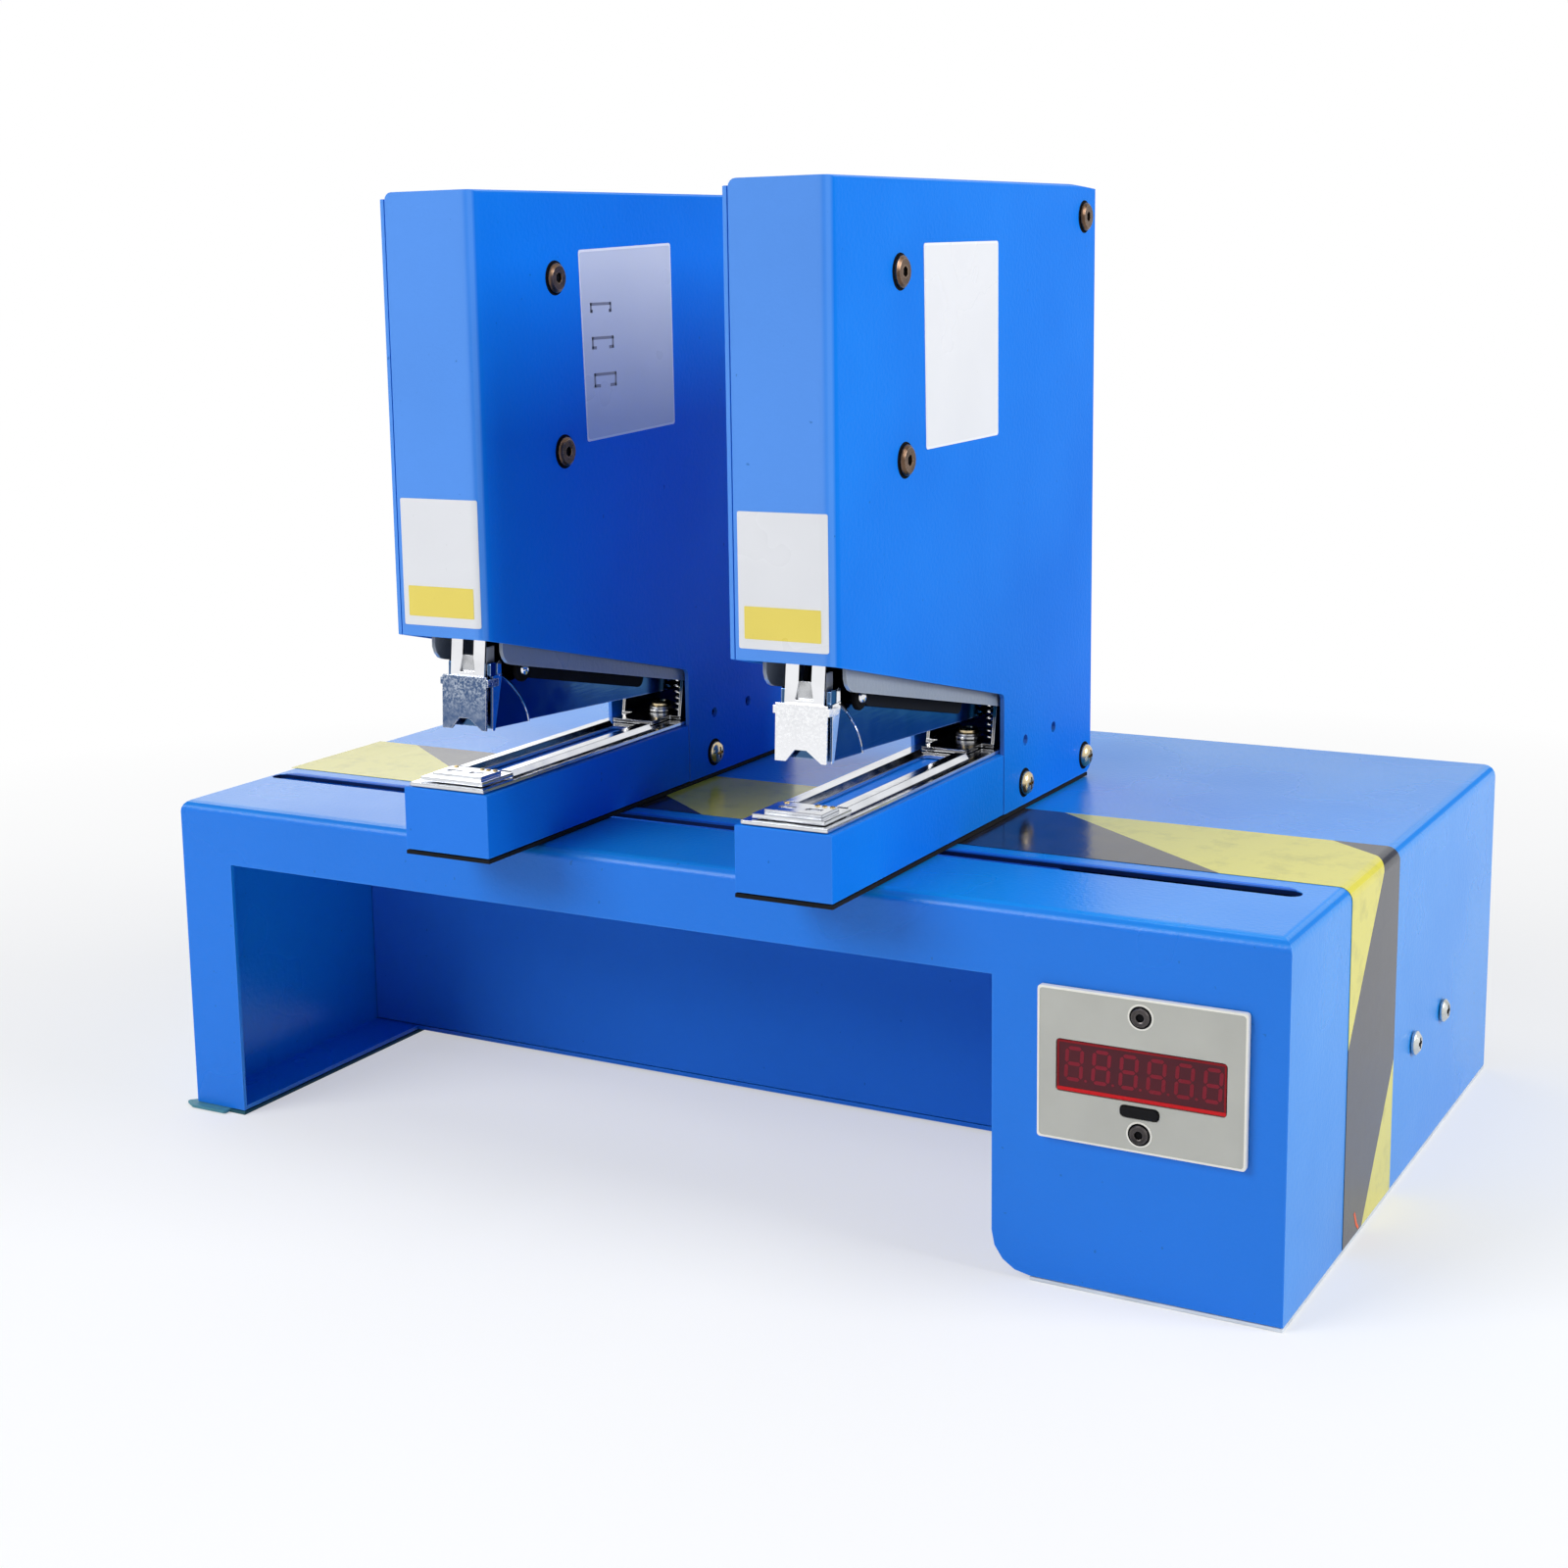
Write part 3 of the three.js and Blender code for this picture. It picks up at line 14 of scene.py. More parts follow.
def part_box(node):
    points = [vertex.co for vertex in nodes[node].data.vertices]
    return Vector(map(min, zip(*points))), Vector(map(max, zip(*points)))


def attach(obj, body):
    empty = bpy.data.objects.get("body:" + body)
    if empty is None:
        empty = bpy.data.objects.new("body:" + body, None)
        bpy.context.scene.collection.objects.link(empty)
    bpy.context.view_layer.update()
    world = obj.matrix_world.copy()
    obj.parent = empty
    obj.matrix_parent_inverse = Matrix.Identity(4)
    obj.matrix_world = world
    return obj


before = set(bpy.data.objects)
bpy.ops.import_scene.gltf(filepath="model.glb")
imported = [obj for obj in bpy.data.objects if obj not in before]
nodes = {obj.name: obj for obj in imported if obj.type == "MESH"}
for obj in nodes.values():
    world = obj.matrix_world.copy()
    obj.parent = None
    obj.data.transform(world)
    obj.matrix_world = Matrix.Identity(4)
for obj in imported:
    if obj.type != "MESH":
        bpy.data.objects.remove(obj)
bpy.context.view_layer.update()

MM = 0.001
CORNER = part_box("base_shell")[0]


def at(x, y, z):
    """A point of the machine, in metres of the row frame."""
    return Vector((CORNER.x + x * MM, CORNER.y + y * MM, z * MM))


def in_machine(point):
    """A point of the row frame, in the machine's millimetres."""
    return (point.x - CORNER.x) / MM, (point.y - CORNER.y) / MM, point.z / MM


def head_x(side):
    """The middle of a head, in millimetres."""
    low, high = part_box(f"{side}_arm")
    return ((low.x + high.x) / 2 - CORNER.x) / MM


# Outer faces and bends of the CAD pieces that the scene's pieces sit on. The two heads are alike. The last
# three are distances from a head's middle: its right side, the magazine's cheek and the driver's lever.
TABLE_WIDTH, TABLE_DEPTH, TABLE_TOP = in_machine(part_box("base_shell")[1])
TABLE_BEND = 4
HEAD_FRONT = in_machine(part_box("left_head_shell")[0])[1]
HEAD_BEND = 4.5
HEAD_HALF = in_machine(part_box("left_head_shell")[1])[0] - head_x("left")
CHEEK = 8.2
LEVER = in_machine(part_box("left_driver_lever")[1])[0] - head_x("left")

# The hazard tape's edges on the table, and its stripes. A pair of stripes, black and then yellow, starts at
# STRIPE_START on the line y = STRIPE_BACK and moves to the right by STRIPE_LEAN for each unit forwards.
TAPE_FRONT = 60.0
TAPE_BACK = 114.6
STRIPE_PAIR = 180.0
STRIPE_START = 20.0
STRIPE_BACK = 114.0
STRIPE_LEAN = 70 / 54


# Materials


class Shader:
    """A node material under construction. Coordinates are the object's own, in metres."""

    def __init__(self, name):
        self.material = bpy.data.materials.new(name)
        self.material.use_nodes = True
        self.tree = self.material.node_tree
        self.tree.nodes.clear()
        self.output = self.tree.nodes.new("ShaderNodeOutputMaterial")
        self.place = self.add("ShaderNodeTexCoord").outputs["Object"]

    def add(self, kind, settings=None, **inputs):
        """A new node. An input is given by its name, or by its number as i0, i1 and so on."""
        node = self.tree.nodes.new(kind)
        for key, value in (settings or {}).items():
            setattr(node, key, value)
        for key, value in inputs.items():
            socket = node.inputs[int(key[1:])] if key[0] == "i" and key[1:].isdigit() else node.inputs[key]
            self.put(socket, value)
        return node

    def put(self, socket, value):
        """Links a value that comes from a socket, and otherwise sets it."""
        if isinstance(value, bpy.types.NodeSocket):
            self.tree.links.new(value, socket)
        elif isinstance(value, tuple) and len(value) == 3 and socket.type == "RGBA":
            socket.default_value = (*value, 1)
        else:
            socket.default_value = value

    def noise(self, scale, detail=2, roughness=0.5, place=None):
        node = self.add(
            "ShaderNodeTexNoise",
            Vector=place or self.place,
            Scale=scale,
            Detail=detail,
            Roughness=roughness,
        )
        return node.outputs["Fac"]

    def stretched(self, x, y, z):
        """The object's coordinates times a factor for each axis."""
        node = self.add("ShaderNodeMapping", Vector=self.place, Scale=(x, y, z))
        return node.outputs["Vector"]

    def math(self, operation, first, second=0.0):
        node = self.add("ShaderNodeMath", {"operation": operation}, i0=first, i1=second)
        return node.outputs[0]

    def spread(self, value, low, high, new_low=0.0, new_high=1.0):
        """Maps low to high onto the new range and holds its ends beyond them."""
        settings = {"clamp": True}
        node = self.add("ShaderNodeMapRange", settings, i0=value, i1=low, i2=high, i3=new_low, i4=new_high)
        return node.outputs[0]

    def mix(self, share, first, second):
        """A blend of two colours, which are inputs 6 and 7 of the node."""
        node = self.add("ShaderNodeMix", {"data_type": "RGBA"})
        self.put(node.inputs["Factor"], share)
        self.put(node.inputs[6], first)
        self.put(node.inputs[7], second)
        return node.outputs[2]

    def bump(self, height, strength, distance, normal=None):
        node = self.add("ShaderNodeBump", Height=height, Strength=strength, Distance=distance)
        if normal:
            self.put(node.inputs["Normal"], normal)
        return node.outputs["Normal"]

    def edges(self, radius, low=0.9, high=0.995):
        """1 close to a sharp edge and 0 on a flat."""
        rounded = self.add("ShaderNodeBevel", {"samples": 6}, Radius=radius).outputs["Normal"]
        flat = self.add("ShaderNodeNewGeometry").outputs["True Normal"]
        dot = self.add("ShaderNodeVectorMath", {"operation": "DOT_PRODUCT"}, i0=rounded, i1=flat)
        return self.spread(dot.outputs["Value"], low, high, 1.0, 0.0)

    def facing(self):
        """The three parts of the surface's direction."""
        direction = self.add("ShaderNodeTexCoord").outputs["Normal"]
        return self.add("ShaderNodeSeparateXYZ", Vector=direction).outputs

    def bends(self):
        """1 along the middle of a folded edge and 0 on faces that look along an axis."""
        x, y, z = (self.math("ABSOLUTE", part) for part in self.facing())
        return self.spread(self.math("MAXIMUM", self.math("MAXIMUM", x, y), z), 0.78, 0.9, 1.0, 0.0)

    def surface(self, base, rough, **inputs):
        """Ends the material in one shader. Its other inputs have an underscore for each space."""
        node = self.add("ShaderNodeBsdfPrincipled")
        self.put(node.inputs["Base Color"], base)
        self.put(node.inputs["Roughness"], rough)
        for key, value in inputs.items():
            self.put(node.inputs[key.replace("_", " ")], value)
        self.tree.links.new(node.outputs[0], self.output.inputs["Surface"])
        return self.material


# The painted highlight on folded edges, but for the base's
FOLD_HIGHLIGHT = (0.16, 0.40, 0.93)


def powder_coat(name, color, dark, light, gloss, low, high, front=None, fold=FOLD_HIGHLIGHT, dull=0.0):
    """Powder coat with orange peel, faint clouds, dust specks, scuffs, and paler edges that are a painted
    highlight.

    Front is its colour on faces that look forwards and fold the one that its folded edges lean to, both
    painted light by the way a face turns. Low and high bound its roughness, and dull is the roughness of the
    folded edges.
    """
    s = Shader(name)
    clouds = s.noise(14, 3)
    base = s.mix(s.spread(clouds, 0.35, 0.7), color, dark)
    # painted light by facing: faces that look forwards take the front colour
    if front:
        front_face = s.mix(s.spread(clouds, 0.35, 0.7), front, tuple(c * 0.95 for c in front))
        base = s.mix(s.spread(s.facing()[1], -0.97, -0.8, 1.0, 0.0), base, front_face)
    # painted highlight: sharp edges turn paler
    base = s.mix(s.math("MULTIPLY", s.edges(0.0009), 0.3), base, light)
    # painted light on folded edges, in the fold colour
    base = s.mix(s.math("MULTIPLY", s.bends(), 0.5), base, fold)
    specks = s.spread(s.noise(420, 1), 0.785, 0.81)
    base = s.mix(s.math("MULTIPLY", specks, 0.4), base, tuple(c * 0.35 for c in color))
    scratches = s.noise(160, 4, 0.7, s.stretched(1.0, 0.35, 5.0))
    scuffs = s.math("MULTIPLY", s.spread(scratches, 0.7, 0.74), s.spread(s.noise(22), 0.58, 0.66))
    base = s.mix(s.math("MULTIPLY", scuffs, 0.2), base, light)
    peel = s.math("ADD", s.noise(650, 1), s.math("MULTIPLY", s.noise(1900, 1), 0.35))
    normal = s.bump(peel, 0.16, 0.0006)
    rough = s.spread(clouds, 0.3, 0.7, low, high)
    if dull:
        rough = s.math("MAXIMUM", rough, s.math("MULTIPLY", s.bends(), dull))
    return s.surface(base, rough, Normal=normal, Specular_IOR_Level=gloss)


def plated(name, color, low=0.05, high=0.16, lines=0.02, edge=None, tint=(1, 1, 1)):
    """Bright plating on pressed steel: slight waviness, fine rolling lines, dulled patches, and edges
    painted in the edge colour, a painted highlight where it is pale and a painted dark reflection where it
    is dark.
    """
    s = Shader(name)
    wave = s.noise(45, 2)
    rolled = s.noise(900, 2, 0.6, s.stretched(1.0, 0.06, 1.0))
    normal = s.bump(wave, 0.12, 0.001, s.bump(rolled, lines, 0.0003))
    rough = s.spread(s.noise(130, 4), 0.35, 0.75, low, high)
    base = s.mix(s.spread(s.noise(60, 3), 0.45, 0.8), color, tuple(c * 0.82 for c in color))
    # the edge colour is painted light along the edges
    if edge:
        base = s.mix(s.edges(0.0007, 0.82, 0.98), base, edge)
    return s.surface(base, rough, Metallic=1.0, Normal=normal, Specular_Tint=tint)


def frosted(name, face, dark, light):
    """Bright plating with a frosty upper half, as on the noses, and edges painted near white, a painted
    highlight.
    """
    s = Shader(name)
    flakes = s.spread(s.noise(1300, 3, 0.6), 0.42, 0.62)
    patches = s.spread(s.noise(260, 2), 0.35, 0.6, 0.5, 1.0)
    height = s.add("ShaderNodeSeparateXYZ", Vector=s.place).outputs[2]
    bare_below, frosted_above = 157 * MM, 167 * MM
    frost = s.math("MULTIPLY", s.spread(height, bare_below, frosted_above), patches)
    clouds = s.spread(s.noise(420, 2), 0.4, 0.7)
    base = s.mix(s.math("MULTIPLY", clouds, 0.4), face, light)
    base = s.mix(frost, base, s.mix(flakes, dark, light))
    # painted highlight: edges turn near white
    base = s.mix(s.edges(0.0005, 0.85, 0.98), base, (0.95, 0.95, 0.96))
    rough = s.spread(flakes, 0, 1, 0.12, 0.3)
    return s.surface(base, rough, Metallic=1.0, Normal=s.bump(flakes, 0.1, 0.0003))


def machined(name, color, low, high):
    """Turned or milled metal with fine grain and a few darker stains."""
    s = Shader(name)
    grain = s.noise(1800, 3, 0.6)
    stain = s.spread(s.noise(190, 4), 0.5, 0.75)
    base = s.mix(stain, color, tuple(c * 0.55 for c in color))
    rough = s.spread(grain, 0.3, 0.7, low, high)
    return s.surface(base, rough, Metallic=1.0, Normal=s.bump(grain, 0.08, 0.0002))


def bronzed(name, color, rim):
    """Blackened screw steel, paler towards its edges in the rim colour."""
    s = Shader(name)
    grain = s.noise(1500, 3, 0.6)
    base = s.mix(s.spread(s.noise(260, 4), 0.4, 0.7), color, tuple(c * 0.45 for c in color))
    base = s.mix(s.edges(0.0006, 0.8, 0.98), base, rim)
    rough = s.spread(grain, 0.3, 0.7, 0.24, 0.4)
    return s.surface(base, rough, Metallic=1.0, Normal=s.bump(grain, 0.1, 0.0003))


def moulded(name, color, low=0.4, high=0.55, grain=0.12, light=None, gloss=0.3):
    """Moulded plastic or rubber with a spark-eroded grain."""
    s = Shader(name)
    fine = s.noise(1500, 3, 0.6)
    clouds = s.noise(70, 3)
    base = s.mix(s.spread(clouds, 0.3, 0.75), color, light or tuple(min(1, c * 1.25 + 0.004) for c in color))
    rough = s.spread(clouds, 0.3, 0.7, low, high)
    return s.surface(base, rough, Normal=s.bump(fine, grain, 0.0003), Specular_IOR_Level=gloss)


# The paints. The base's top and sides are painted greener than its front, as painted light, and its folds
# darker, as painted shade; the fronts of the heads and arms are painted paler than their sides, a painted
# sheen.
BLUE = (0.006, 0.207, 0.82)
BLUE_DARK = (0.006, 0.182, 0.765)
BLUE_LIGHT = (0.07, 0.33, 0.95)
SHELL_FRONT_SHEEN = (0.108, 0.317, 0.87)
ARM_FRONT_SHEEN = (0.030, 0.212, 0.82)
BASE_LIT_BLUE = (0.006, 0.275, 0.82)
BASE_LIT_DARK = (0.006, 0.245, 0.775)
BASE_FRONT = (0.006, 0.192, 0.79)
BASE_FOLD_SHADE = (0.002, 0.15, 0.66)
GREY_DARK = (0.215, 0.255, 0.315)
GREY_LIGHT = (0.60, 0.63, 0.67)

blue_base = powder_coat(
    "blue_powder_coat", BASE_LIT_BLUE, BASE_LIT_DARK, BLUE_LIGHT, 0.32, 0.25, 0.33, BASE_FRONT, BASE_FOLD_SHADE, 0.8
)
blue_head = powder_coat("blue_satin_coat", BLUE, BLUE_DARK, BLUE_LIGHT, 0.03, 0.32, 0.4, ARM_FRONT_SHEEN)
blue_shell = powder_coat("blue_shell_coat", BLUE, BLUE_DARK, BLUE_LIGHT, 0.03, 0.32, 0.4, SHELL_FRONT_SHEEN)
grey = powder_coat("grey_enamel", (0.25, 0.29, 0.35), GREY_DARK, GREY_LIGHT, 0.4, 0.25, 0.33)
black_enamel = moulded("black_enamel", (0.006, 0.007, 0.010), 0.34, 0.46, 0.05, None, 0.01)

chrome = plated("bright_chrome", (0.86, 0.87, 0.90))
# the anvil's dark edges are a painted dark reflection
chrome_base = plated("anvil_chrome", (0.74, 0.76, 0.80), 0.1, 0.24, 0.05, (0.16, 0.17, 0.20))
# the bracket's dark colour is painted shade of its inside, and its pale edges a painted highlight
bracket_shaded_chrome = plated("bracket_chrome", (0.20, 0.195, 0.19), 0.12, 0.26, 0.05, (0.85, 0.86, 0.88))
# the magazine is chrome: its dark blue is a painted reflection of the paint round it, its pale edges a
# painted highlight
magazine_blue_reflection = plated(
    "magazine_metal", (0.05, 0.115, 0.235), 0.1, 0.2, 0.05, (0.34, 0.44, 0.64), (0.3, 0.4, 0.6)
)
nose_clear = frosted("nose_chrome", (0.86, 0.87, 0.90), (0.80, 0.81, 0.84), (0.90, 0.91, 0.93))
# the left nose's dark blue is a painted reflection of the blue paint round it
nose_blue_reflection = frosted("nose_chrome_blue_reflection", (0.075, 0.125, 0.25), (0.05, 0.10, 0.22), (0.44, 0.50, 0.60))

steel = machined("bare_steel", (0.52, 0.53, 0.55), 0.22, 0.4)
staple_steel = machined("staple_steel", (0.66, 0.67, 0.69), 0.18, 0.3)
yellow_zinc = machined("yellow_zinc", (0.64, 0.52, 0.32), 0.16, 0.3)
bare_zinc = machined("bare_zinc", (0.62, 0.64, 0.62), 0.16, 0.3)
brass = machined("plated_brass", (0.74, 0.56, 0.26), 0.2, 0.35)
aluminium = machined("milled_aluminium", (0.62, 0.64, 0.66), 0.3, 0.45)
bronze = bronzed("bronzed_oxide", (0.14, 0.085, 0.055), (0.62, 0.45, 0.33))
screw_black = bronzed("black_oxide", (0.075, 0.068, 0.068), (0.20, 0.18, 0.18))
satin_steel = moulded("satin_steel", (0.50, 0.52, 0.56), 0.3, 0.4, 0.06)

rubber = moulded("black_rubber", (0.008, 0.008, 0.009), 0.6, 0.8, 0.3, None, 0.08)
teal_rubber = moulded("teal_rubber", (0.008, 0.07, 0.095), 0.55, 0.75, 0.3)
# a paler copy of the pad's teal, painted light on the part of the pad out in the open
flap_teal = moulded("flap_teal", (0.06, 0.22, 0.28), 0.5, 0.65, 0.3)
foam = moulded("pale_foam", (0.62, 0.66, 0.70), 0.75, 0.9, 0.4)
black_plastic = moulded("black_plastic", (0.018, 0.018, 0.02), 0.38, 0.52)
bezel_plastic = moulded("bezel_plastic", (0.47, 0.47, 0.425), 0.3, 0.4, 0.06, (0.51, 0.51, 0.46))
bezel_edge = moulded("bezel_edge", (0.84, 0.82, 0.74), 0.3, 0.4, 0.06, (0.88, 0.86, 0.79))
# near black that paints the shade in recesses, rings and crosses; also the black of the lever's boss
shadow_black = moulded("recess_black", (0.005, 0.005, 0.006), 0.5, 0.7, 0.1, None, 0.01)
# dark blues that paint the shade in the slot and behind it
slot_navy = moulded("slot_navy", (0.002, 0.012, 0.07), 0.45, 0.6, 0.1, None, 0.05)
slot_blue = moulded("slot_blue", (0.008, 0.16, 0.68), 0.4, 0.5, 0.1, None, 0.1)
slot_dusk = moulded("slot_dusk", (0.005, 0.08, 0.40), 0.4, 0.5, 0.1, None, 0.05)


def red_window(name):
    """Dark red display filter: gloss face with faint clouds."""
    s = Shader(name)
    clouds = s.noise(120, 3)
    base = s.mix(s.spread(clouds, 0.3, 0.7), (0.088, 0.010, 0.017), (0.070, 0.010, 0.018))
    rough = s.spread(s.noise(300, 3), 0.3, 0.7, 0.12, 0.2)
    return s.surface(base, rough, Specular_IOR_Level=0.2)


window_red = red_window("red_filter")
segment_red = moulded("unlit_segments", (0.20, 0.008, 0.020), 0.25, 0.35, 0.03, (0.23, 0.01, 0.026), 0.2)
lip_bright = moulded("filter_lip", (0.56, 0.004, 0.008), 0.2, 0.3, 0.03, (0.62, 0.01, 0.014), 0.2)
lip_dark = moulded("filter_rim", (0.22, 0.002, 0.007), 0.2, 0.3, 0.03, (0.26, 0.004, 0.01), 0.2)
mark_orange = moulded("orange_mark", (0.80, 0.10, 0.02), 0.4, 0.5, 0.1)


def hazard_stripes():
    """Slanted black and yellow stripes, laid along the tape from the left end over the right bend."""
    s = Shader("hazard_tape")
    split = s.add("ShaderNodeSeparateXYZ", Vector=s.place)
    x = s.math("DIVIDE", s.math("SUBTRACT", split.outputs[0], CORNER.x), MM)
    y = s.math("DIVIDE", s.math("SUBTRACT", split.outputs[1], CORNER.y), MM)
    z = s.math("DIVIDE", split.outputs[2], MM)
    down = s.math("MAXIMUM", s.math("SUBTRACT", TABLE_TOP + 0.3, z), 0.0)
    along = s.math("ADD", x, down)
    lean = s.math("MULTIPLY", s.math("SUBTRACT", STRIPE_BACK, y), STRIPE_LEAN)
    phase = s.math("SUBTRACT", s.math("SUBTRACT", along, lean), STRIPE_START)
    wrapped = s.math("WRAP", phase, STRIPE_PAIR)
    # the third input is where the wrap starts
    s.put(wrapped.node.inputs[2], 0.0)
    distance = s.math("ABSOLUTE", s.math("SUBTRACT", wrapped, STRIPE_PAIR * 3 / 4))
    half, blur = STRIPE_PAIR / 4, 0.3
    is_yellow = s.spread(distance, half - blur, half + blur, 1.0, 0.0)
    dirt = s.noise(90, 5, 0.65)
    yellow = s.mix(s.spread(dirt, 0.5, 0.8), (0.70, 0.64, 0.085), (0.46, 0.43, 0.075))
    black = s.mix(s.spread(dirt, 0.4, 0.75), (0.013, 0.015, 0.027), (0.034, 0.038, 0.058))
    base = s.mix(is_yellow, black, yellow)
    creases = s.noise(60, 2, 0.5, s.stretched(3.0, 0.6, 1.0))
    normal = s.bump(creases, 0.05, 0.001, s.bump(s.noise(700, 1), 0.04, 0.0004))
    rough = s.math("MAXIMUM", s.spread(dirt, 0.3, 0.7, 0.13, 0.22), s.math("MULTIPLY", s.bends(), 0.8))
    return s.surface(base, rough, Normal=normal, Specular_IOR_Level=0.34)


tape = hazard_stripes()


def sticker(name, color):
    """Printed vinyl: faint mottling, a slight curl in the gloss and small grubby marks."""
    s = Shader(name)
    clouds = s.noise(25, 3)
    base = s.mix(s.spread(clouds, 0.3, 0.75), color, tuple(c * 0.95 for c in color))
    marks = s.spread(s.noise(600, 2), 0.75, 0.79)
    base = s.mix(s.math("MULTIPLY", marks, 0.2), base, tuple(c * 0.5 for c in color))
    normal = s.bump(s.noise(35, 1), 0.03, 0.001)
    return s.surface(base, s.spread(clouds, 0.3, 0.7, 0.24, 0.36), Normal=normal)


label_white = sticker("label_white", (0.79, 0.80, 0.83))
label_silver = sticker("label_silver", (0.60, 0.64, 0.74))
label_rim = sticker("label_rim", (0.86, 0.87, 0.90))
label_yellow = sticker("label_yellow", (0.83, 0.68, 0.12))
label_print = sticker("label_print", (0.20, 0.21, 0.27))


# Mesh helpers


def smooth_by_angle():
    """Modifier group that shades a mesh smooth, but for its edges over 32 degrees."""
    tree = bpy.data.node_groups.new("smooth_by_angle", "GeometryNodeTree")
    tree.interface.new_socket("Geometry", in_out="INPUT", socket_type="NodeSocketGeometry")
    tree.interface.new_socket("Geometry", in_out="OUTPUT", socket_type="NodeSocketGeometry")
    start = tree.nodes.new("NodeGroupInput")
    end = tree.nodes.new("NodeGroupOutput")
    faces = tree.nodes.new("GeometryNodeSetShadeSmooth")
    edges = tree.nodes.new("GeometryNodeSetShadeSmooth")
    edges.domain = "EDGE"
    angle = tree.nodes.new("GeometryNodeInputMeshEdgeAngle")
    compare = tree.nodes.new("FunctionNodeCompare")
    compare.data_type = "FLOAT"
    compare.operation = "GREATER_THAN"
    compare.inputs[1].default_value = math.radians(32)
    edges.inputs["Shade Smooth"].default_value = False
    link = tree.links.new
    link(start.outputs[0], faces.inputs["Geometry"])
    link(faces.outputs["Geometry"], edges.inputs["Geometry"])
    link(angle.outputs["Unsigned Angle"], compare.inputs[0])
    link(compare.outputs["Result"], edges.inputs["Selection"])
    link(edges.outputs["Geometry"], end.inputs[0])
    return tree


SMOOTH = smooth_by_angle()


def finish_edges(piece, bevel, segments=2, weld=True):
    """Softens the hard edges of a piece and shades it smooth. A CAD node's facets are joined first."""
    if weld:
        piece.modifiers.new("weld", "WELD").merge_threshold = 1e-5
        flats = piece.modifiers.new("flats", "DECIMATE")
        flats.decimate_type = "DISSOLVE"
        flats.angle_limit = math.radians(0.4)
    if bevel:
        soft = piece.modifiers.new("edges", "BEVEL")
        soft.width = bevel * MM
        soft.segments = segments
        soft.limit_method = "ANGLE"
        soft.angle_limit = math.radians(40)
    piece.modifiers.new("smooth", "NODES").node_group = SMOOTH
    flat = piece.modifiers.new("flat_faces", "WEIGHTED_NORMAL")
    flat.keep_sharp = True
    flat.weight = 80


def dress(name, material, bevel):
    """Gives a CAD node its material and soft edges."""
    piece = nodes[name]
    piece.data.materials.clear()
    piece.data.materials.append(material)
    finish_edges(piece, bevel)


def new_piece(name, mesh, material, body, bevel=0.0, segments=2):
    """A piece of the scene alone, which rides on a body."""
    mesh.materials.append(material)
    piece = bpy.data.objects.new(name, mesh)
    bpy.context.scene.collection.objects.link(piece)
    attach(piece, body)
    finish_edges(piece, bevel, segments, weld=False)
    return piece


def mesh_of(name, points, faces):
    """A mesh with equal points merged and its faces turned outwards."""
    mesh = bpy.data.meshes.new(name)
    mesh.from_pydata([tuple(p) for p in points], [], faces)
    work = bmesh.new()
    work.from_mesh(mesh)
    bmesh.ops.remove_doubles(work, verts=work.verts, dist=1e-7)
    bmesh.ops.recalc_face_normals(work, faces=work.faces)
    work.to_mesh(mesh)
    work.free()
    return mesh


def slab(name, axis, corners, start, end, material, body, bevel=0.0, segments=2):
    """A flat piece across an axis. Its corners are (y, z) for x, (x, z) for y and (x, y) for z."""
    put = {"x": lambda a, b, t: at(t, a, b), "y": lambda a, b, t: at(a, t, b), "z": at}[axis]
    count = len(corners)
    points = [put(a, b, t) for t in (start, end) for a, b in corners]
    faces = [(i, (i + 1) % count, count + (i + 1) % count, count + i) for i in range(count)]
    faces += [tuple(range(count)), tuple(range(count, 2 * count))]
    return new_piece(name, mesh_of(name, points, faces), material, body, bevel, segments)


def rounded(corners, radius):
    """A convex outline with every corner rounded."""
    steps = 5
    ring = []
    count = len(corners)
    for i, corner in enumerate(corners):
        here = Vector(corner)
        back = (Vector(corners[i - 1]) - here).normalized()
        ahead = (Vector(corners[(i + 1) % count]) - here).normalized()
        half = back.angle(ahead) / 2
        reach = radius / math.tan(half)
        centre = here + (back + ahead).normalized() * (radius / math.sin(half))
        first, last = here + back * reach - centre, here + ahead * reach - centre
        for k in range(steps + 1):
            arm = first.slerp(last, k / steps)
            ring.append(tuple(centre + arm))
    return ring


def box_outline(a0, a1, b0, b1, radius):
    """A rectangle with rounded corners."""
    return rounded([(a0, b0), (a1, b0), (a1, b1), (a0, b1)], radius)


def centred_box(a, b, wide, high):
    """The corners of a rectangle round (a, b), from half its width and half its height."""
    return [(a - wide, b - high), (a + wide, b - high), (a + wide, b + high), (a - wide, b + high)]


def from_face(face, profile):
    """A profile to turn, with its distances measured from a face."""
    return [(radius, face + out) for radius, out in profile]


def turned(name, axis, profile, a, b, material, body, steps=32, bevel=0.0):
    """A piece turned about an axis, from (radius, distance along) pairs. Its ends close by themselves."""
    put = {"x": lambda u, v, t: at(t, u, v), "y": lambda u, v, t: at(u, t, v), "z": at}[axis]
    points = []
    for radius, along in profile:
        for k in range(steps):
            angle = 2 * math.pi * k / steps
            points.append(put(a + radius * math.cos(angle), b + radius * math.sin(angle), along))
    faces = []
    for i in range(len(profile) - 1):
        for k in range(steps):
            row, after = i * steps, (k + 1) % steps
            faces.append((row + k, row + after, row + steps + after, row + steps + k))
    faces += [tuple(range(steps)), tuple(range((len(profile) - 1) * steps, len(profile) * steps))]
    return new_piece(name, mesh_of(name, points, faces), material, body, bevel)


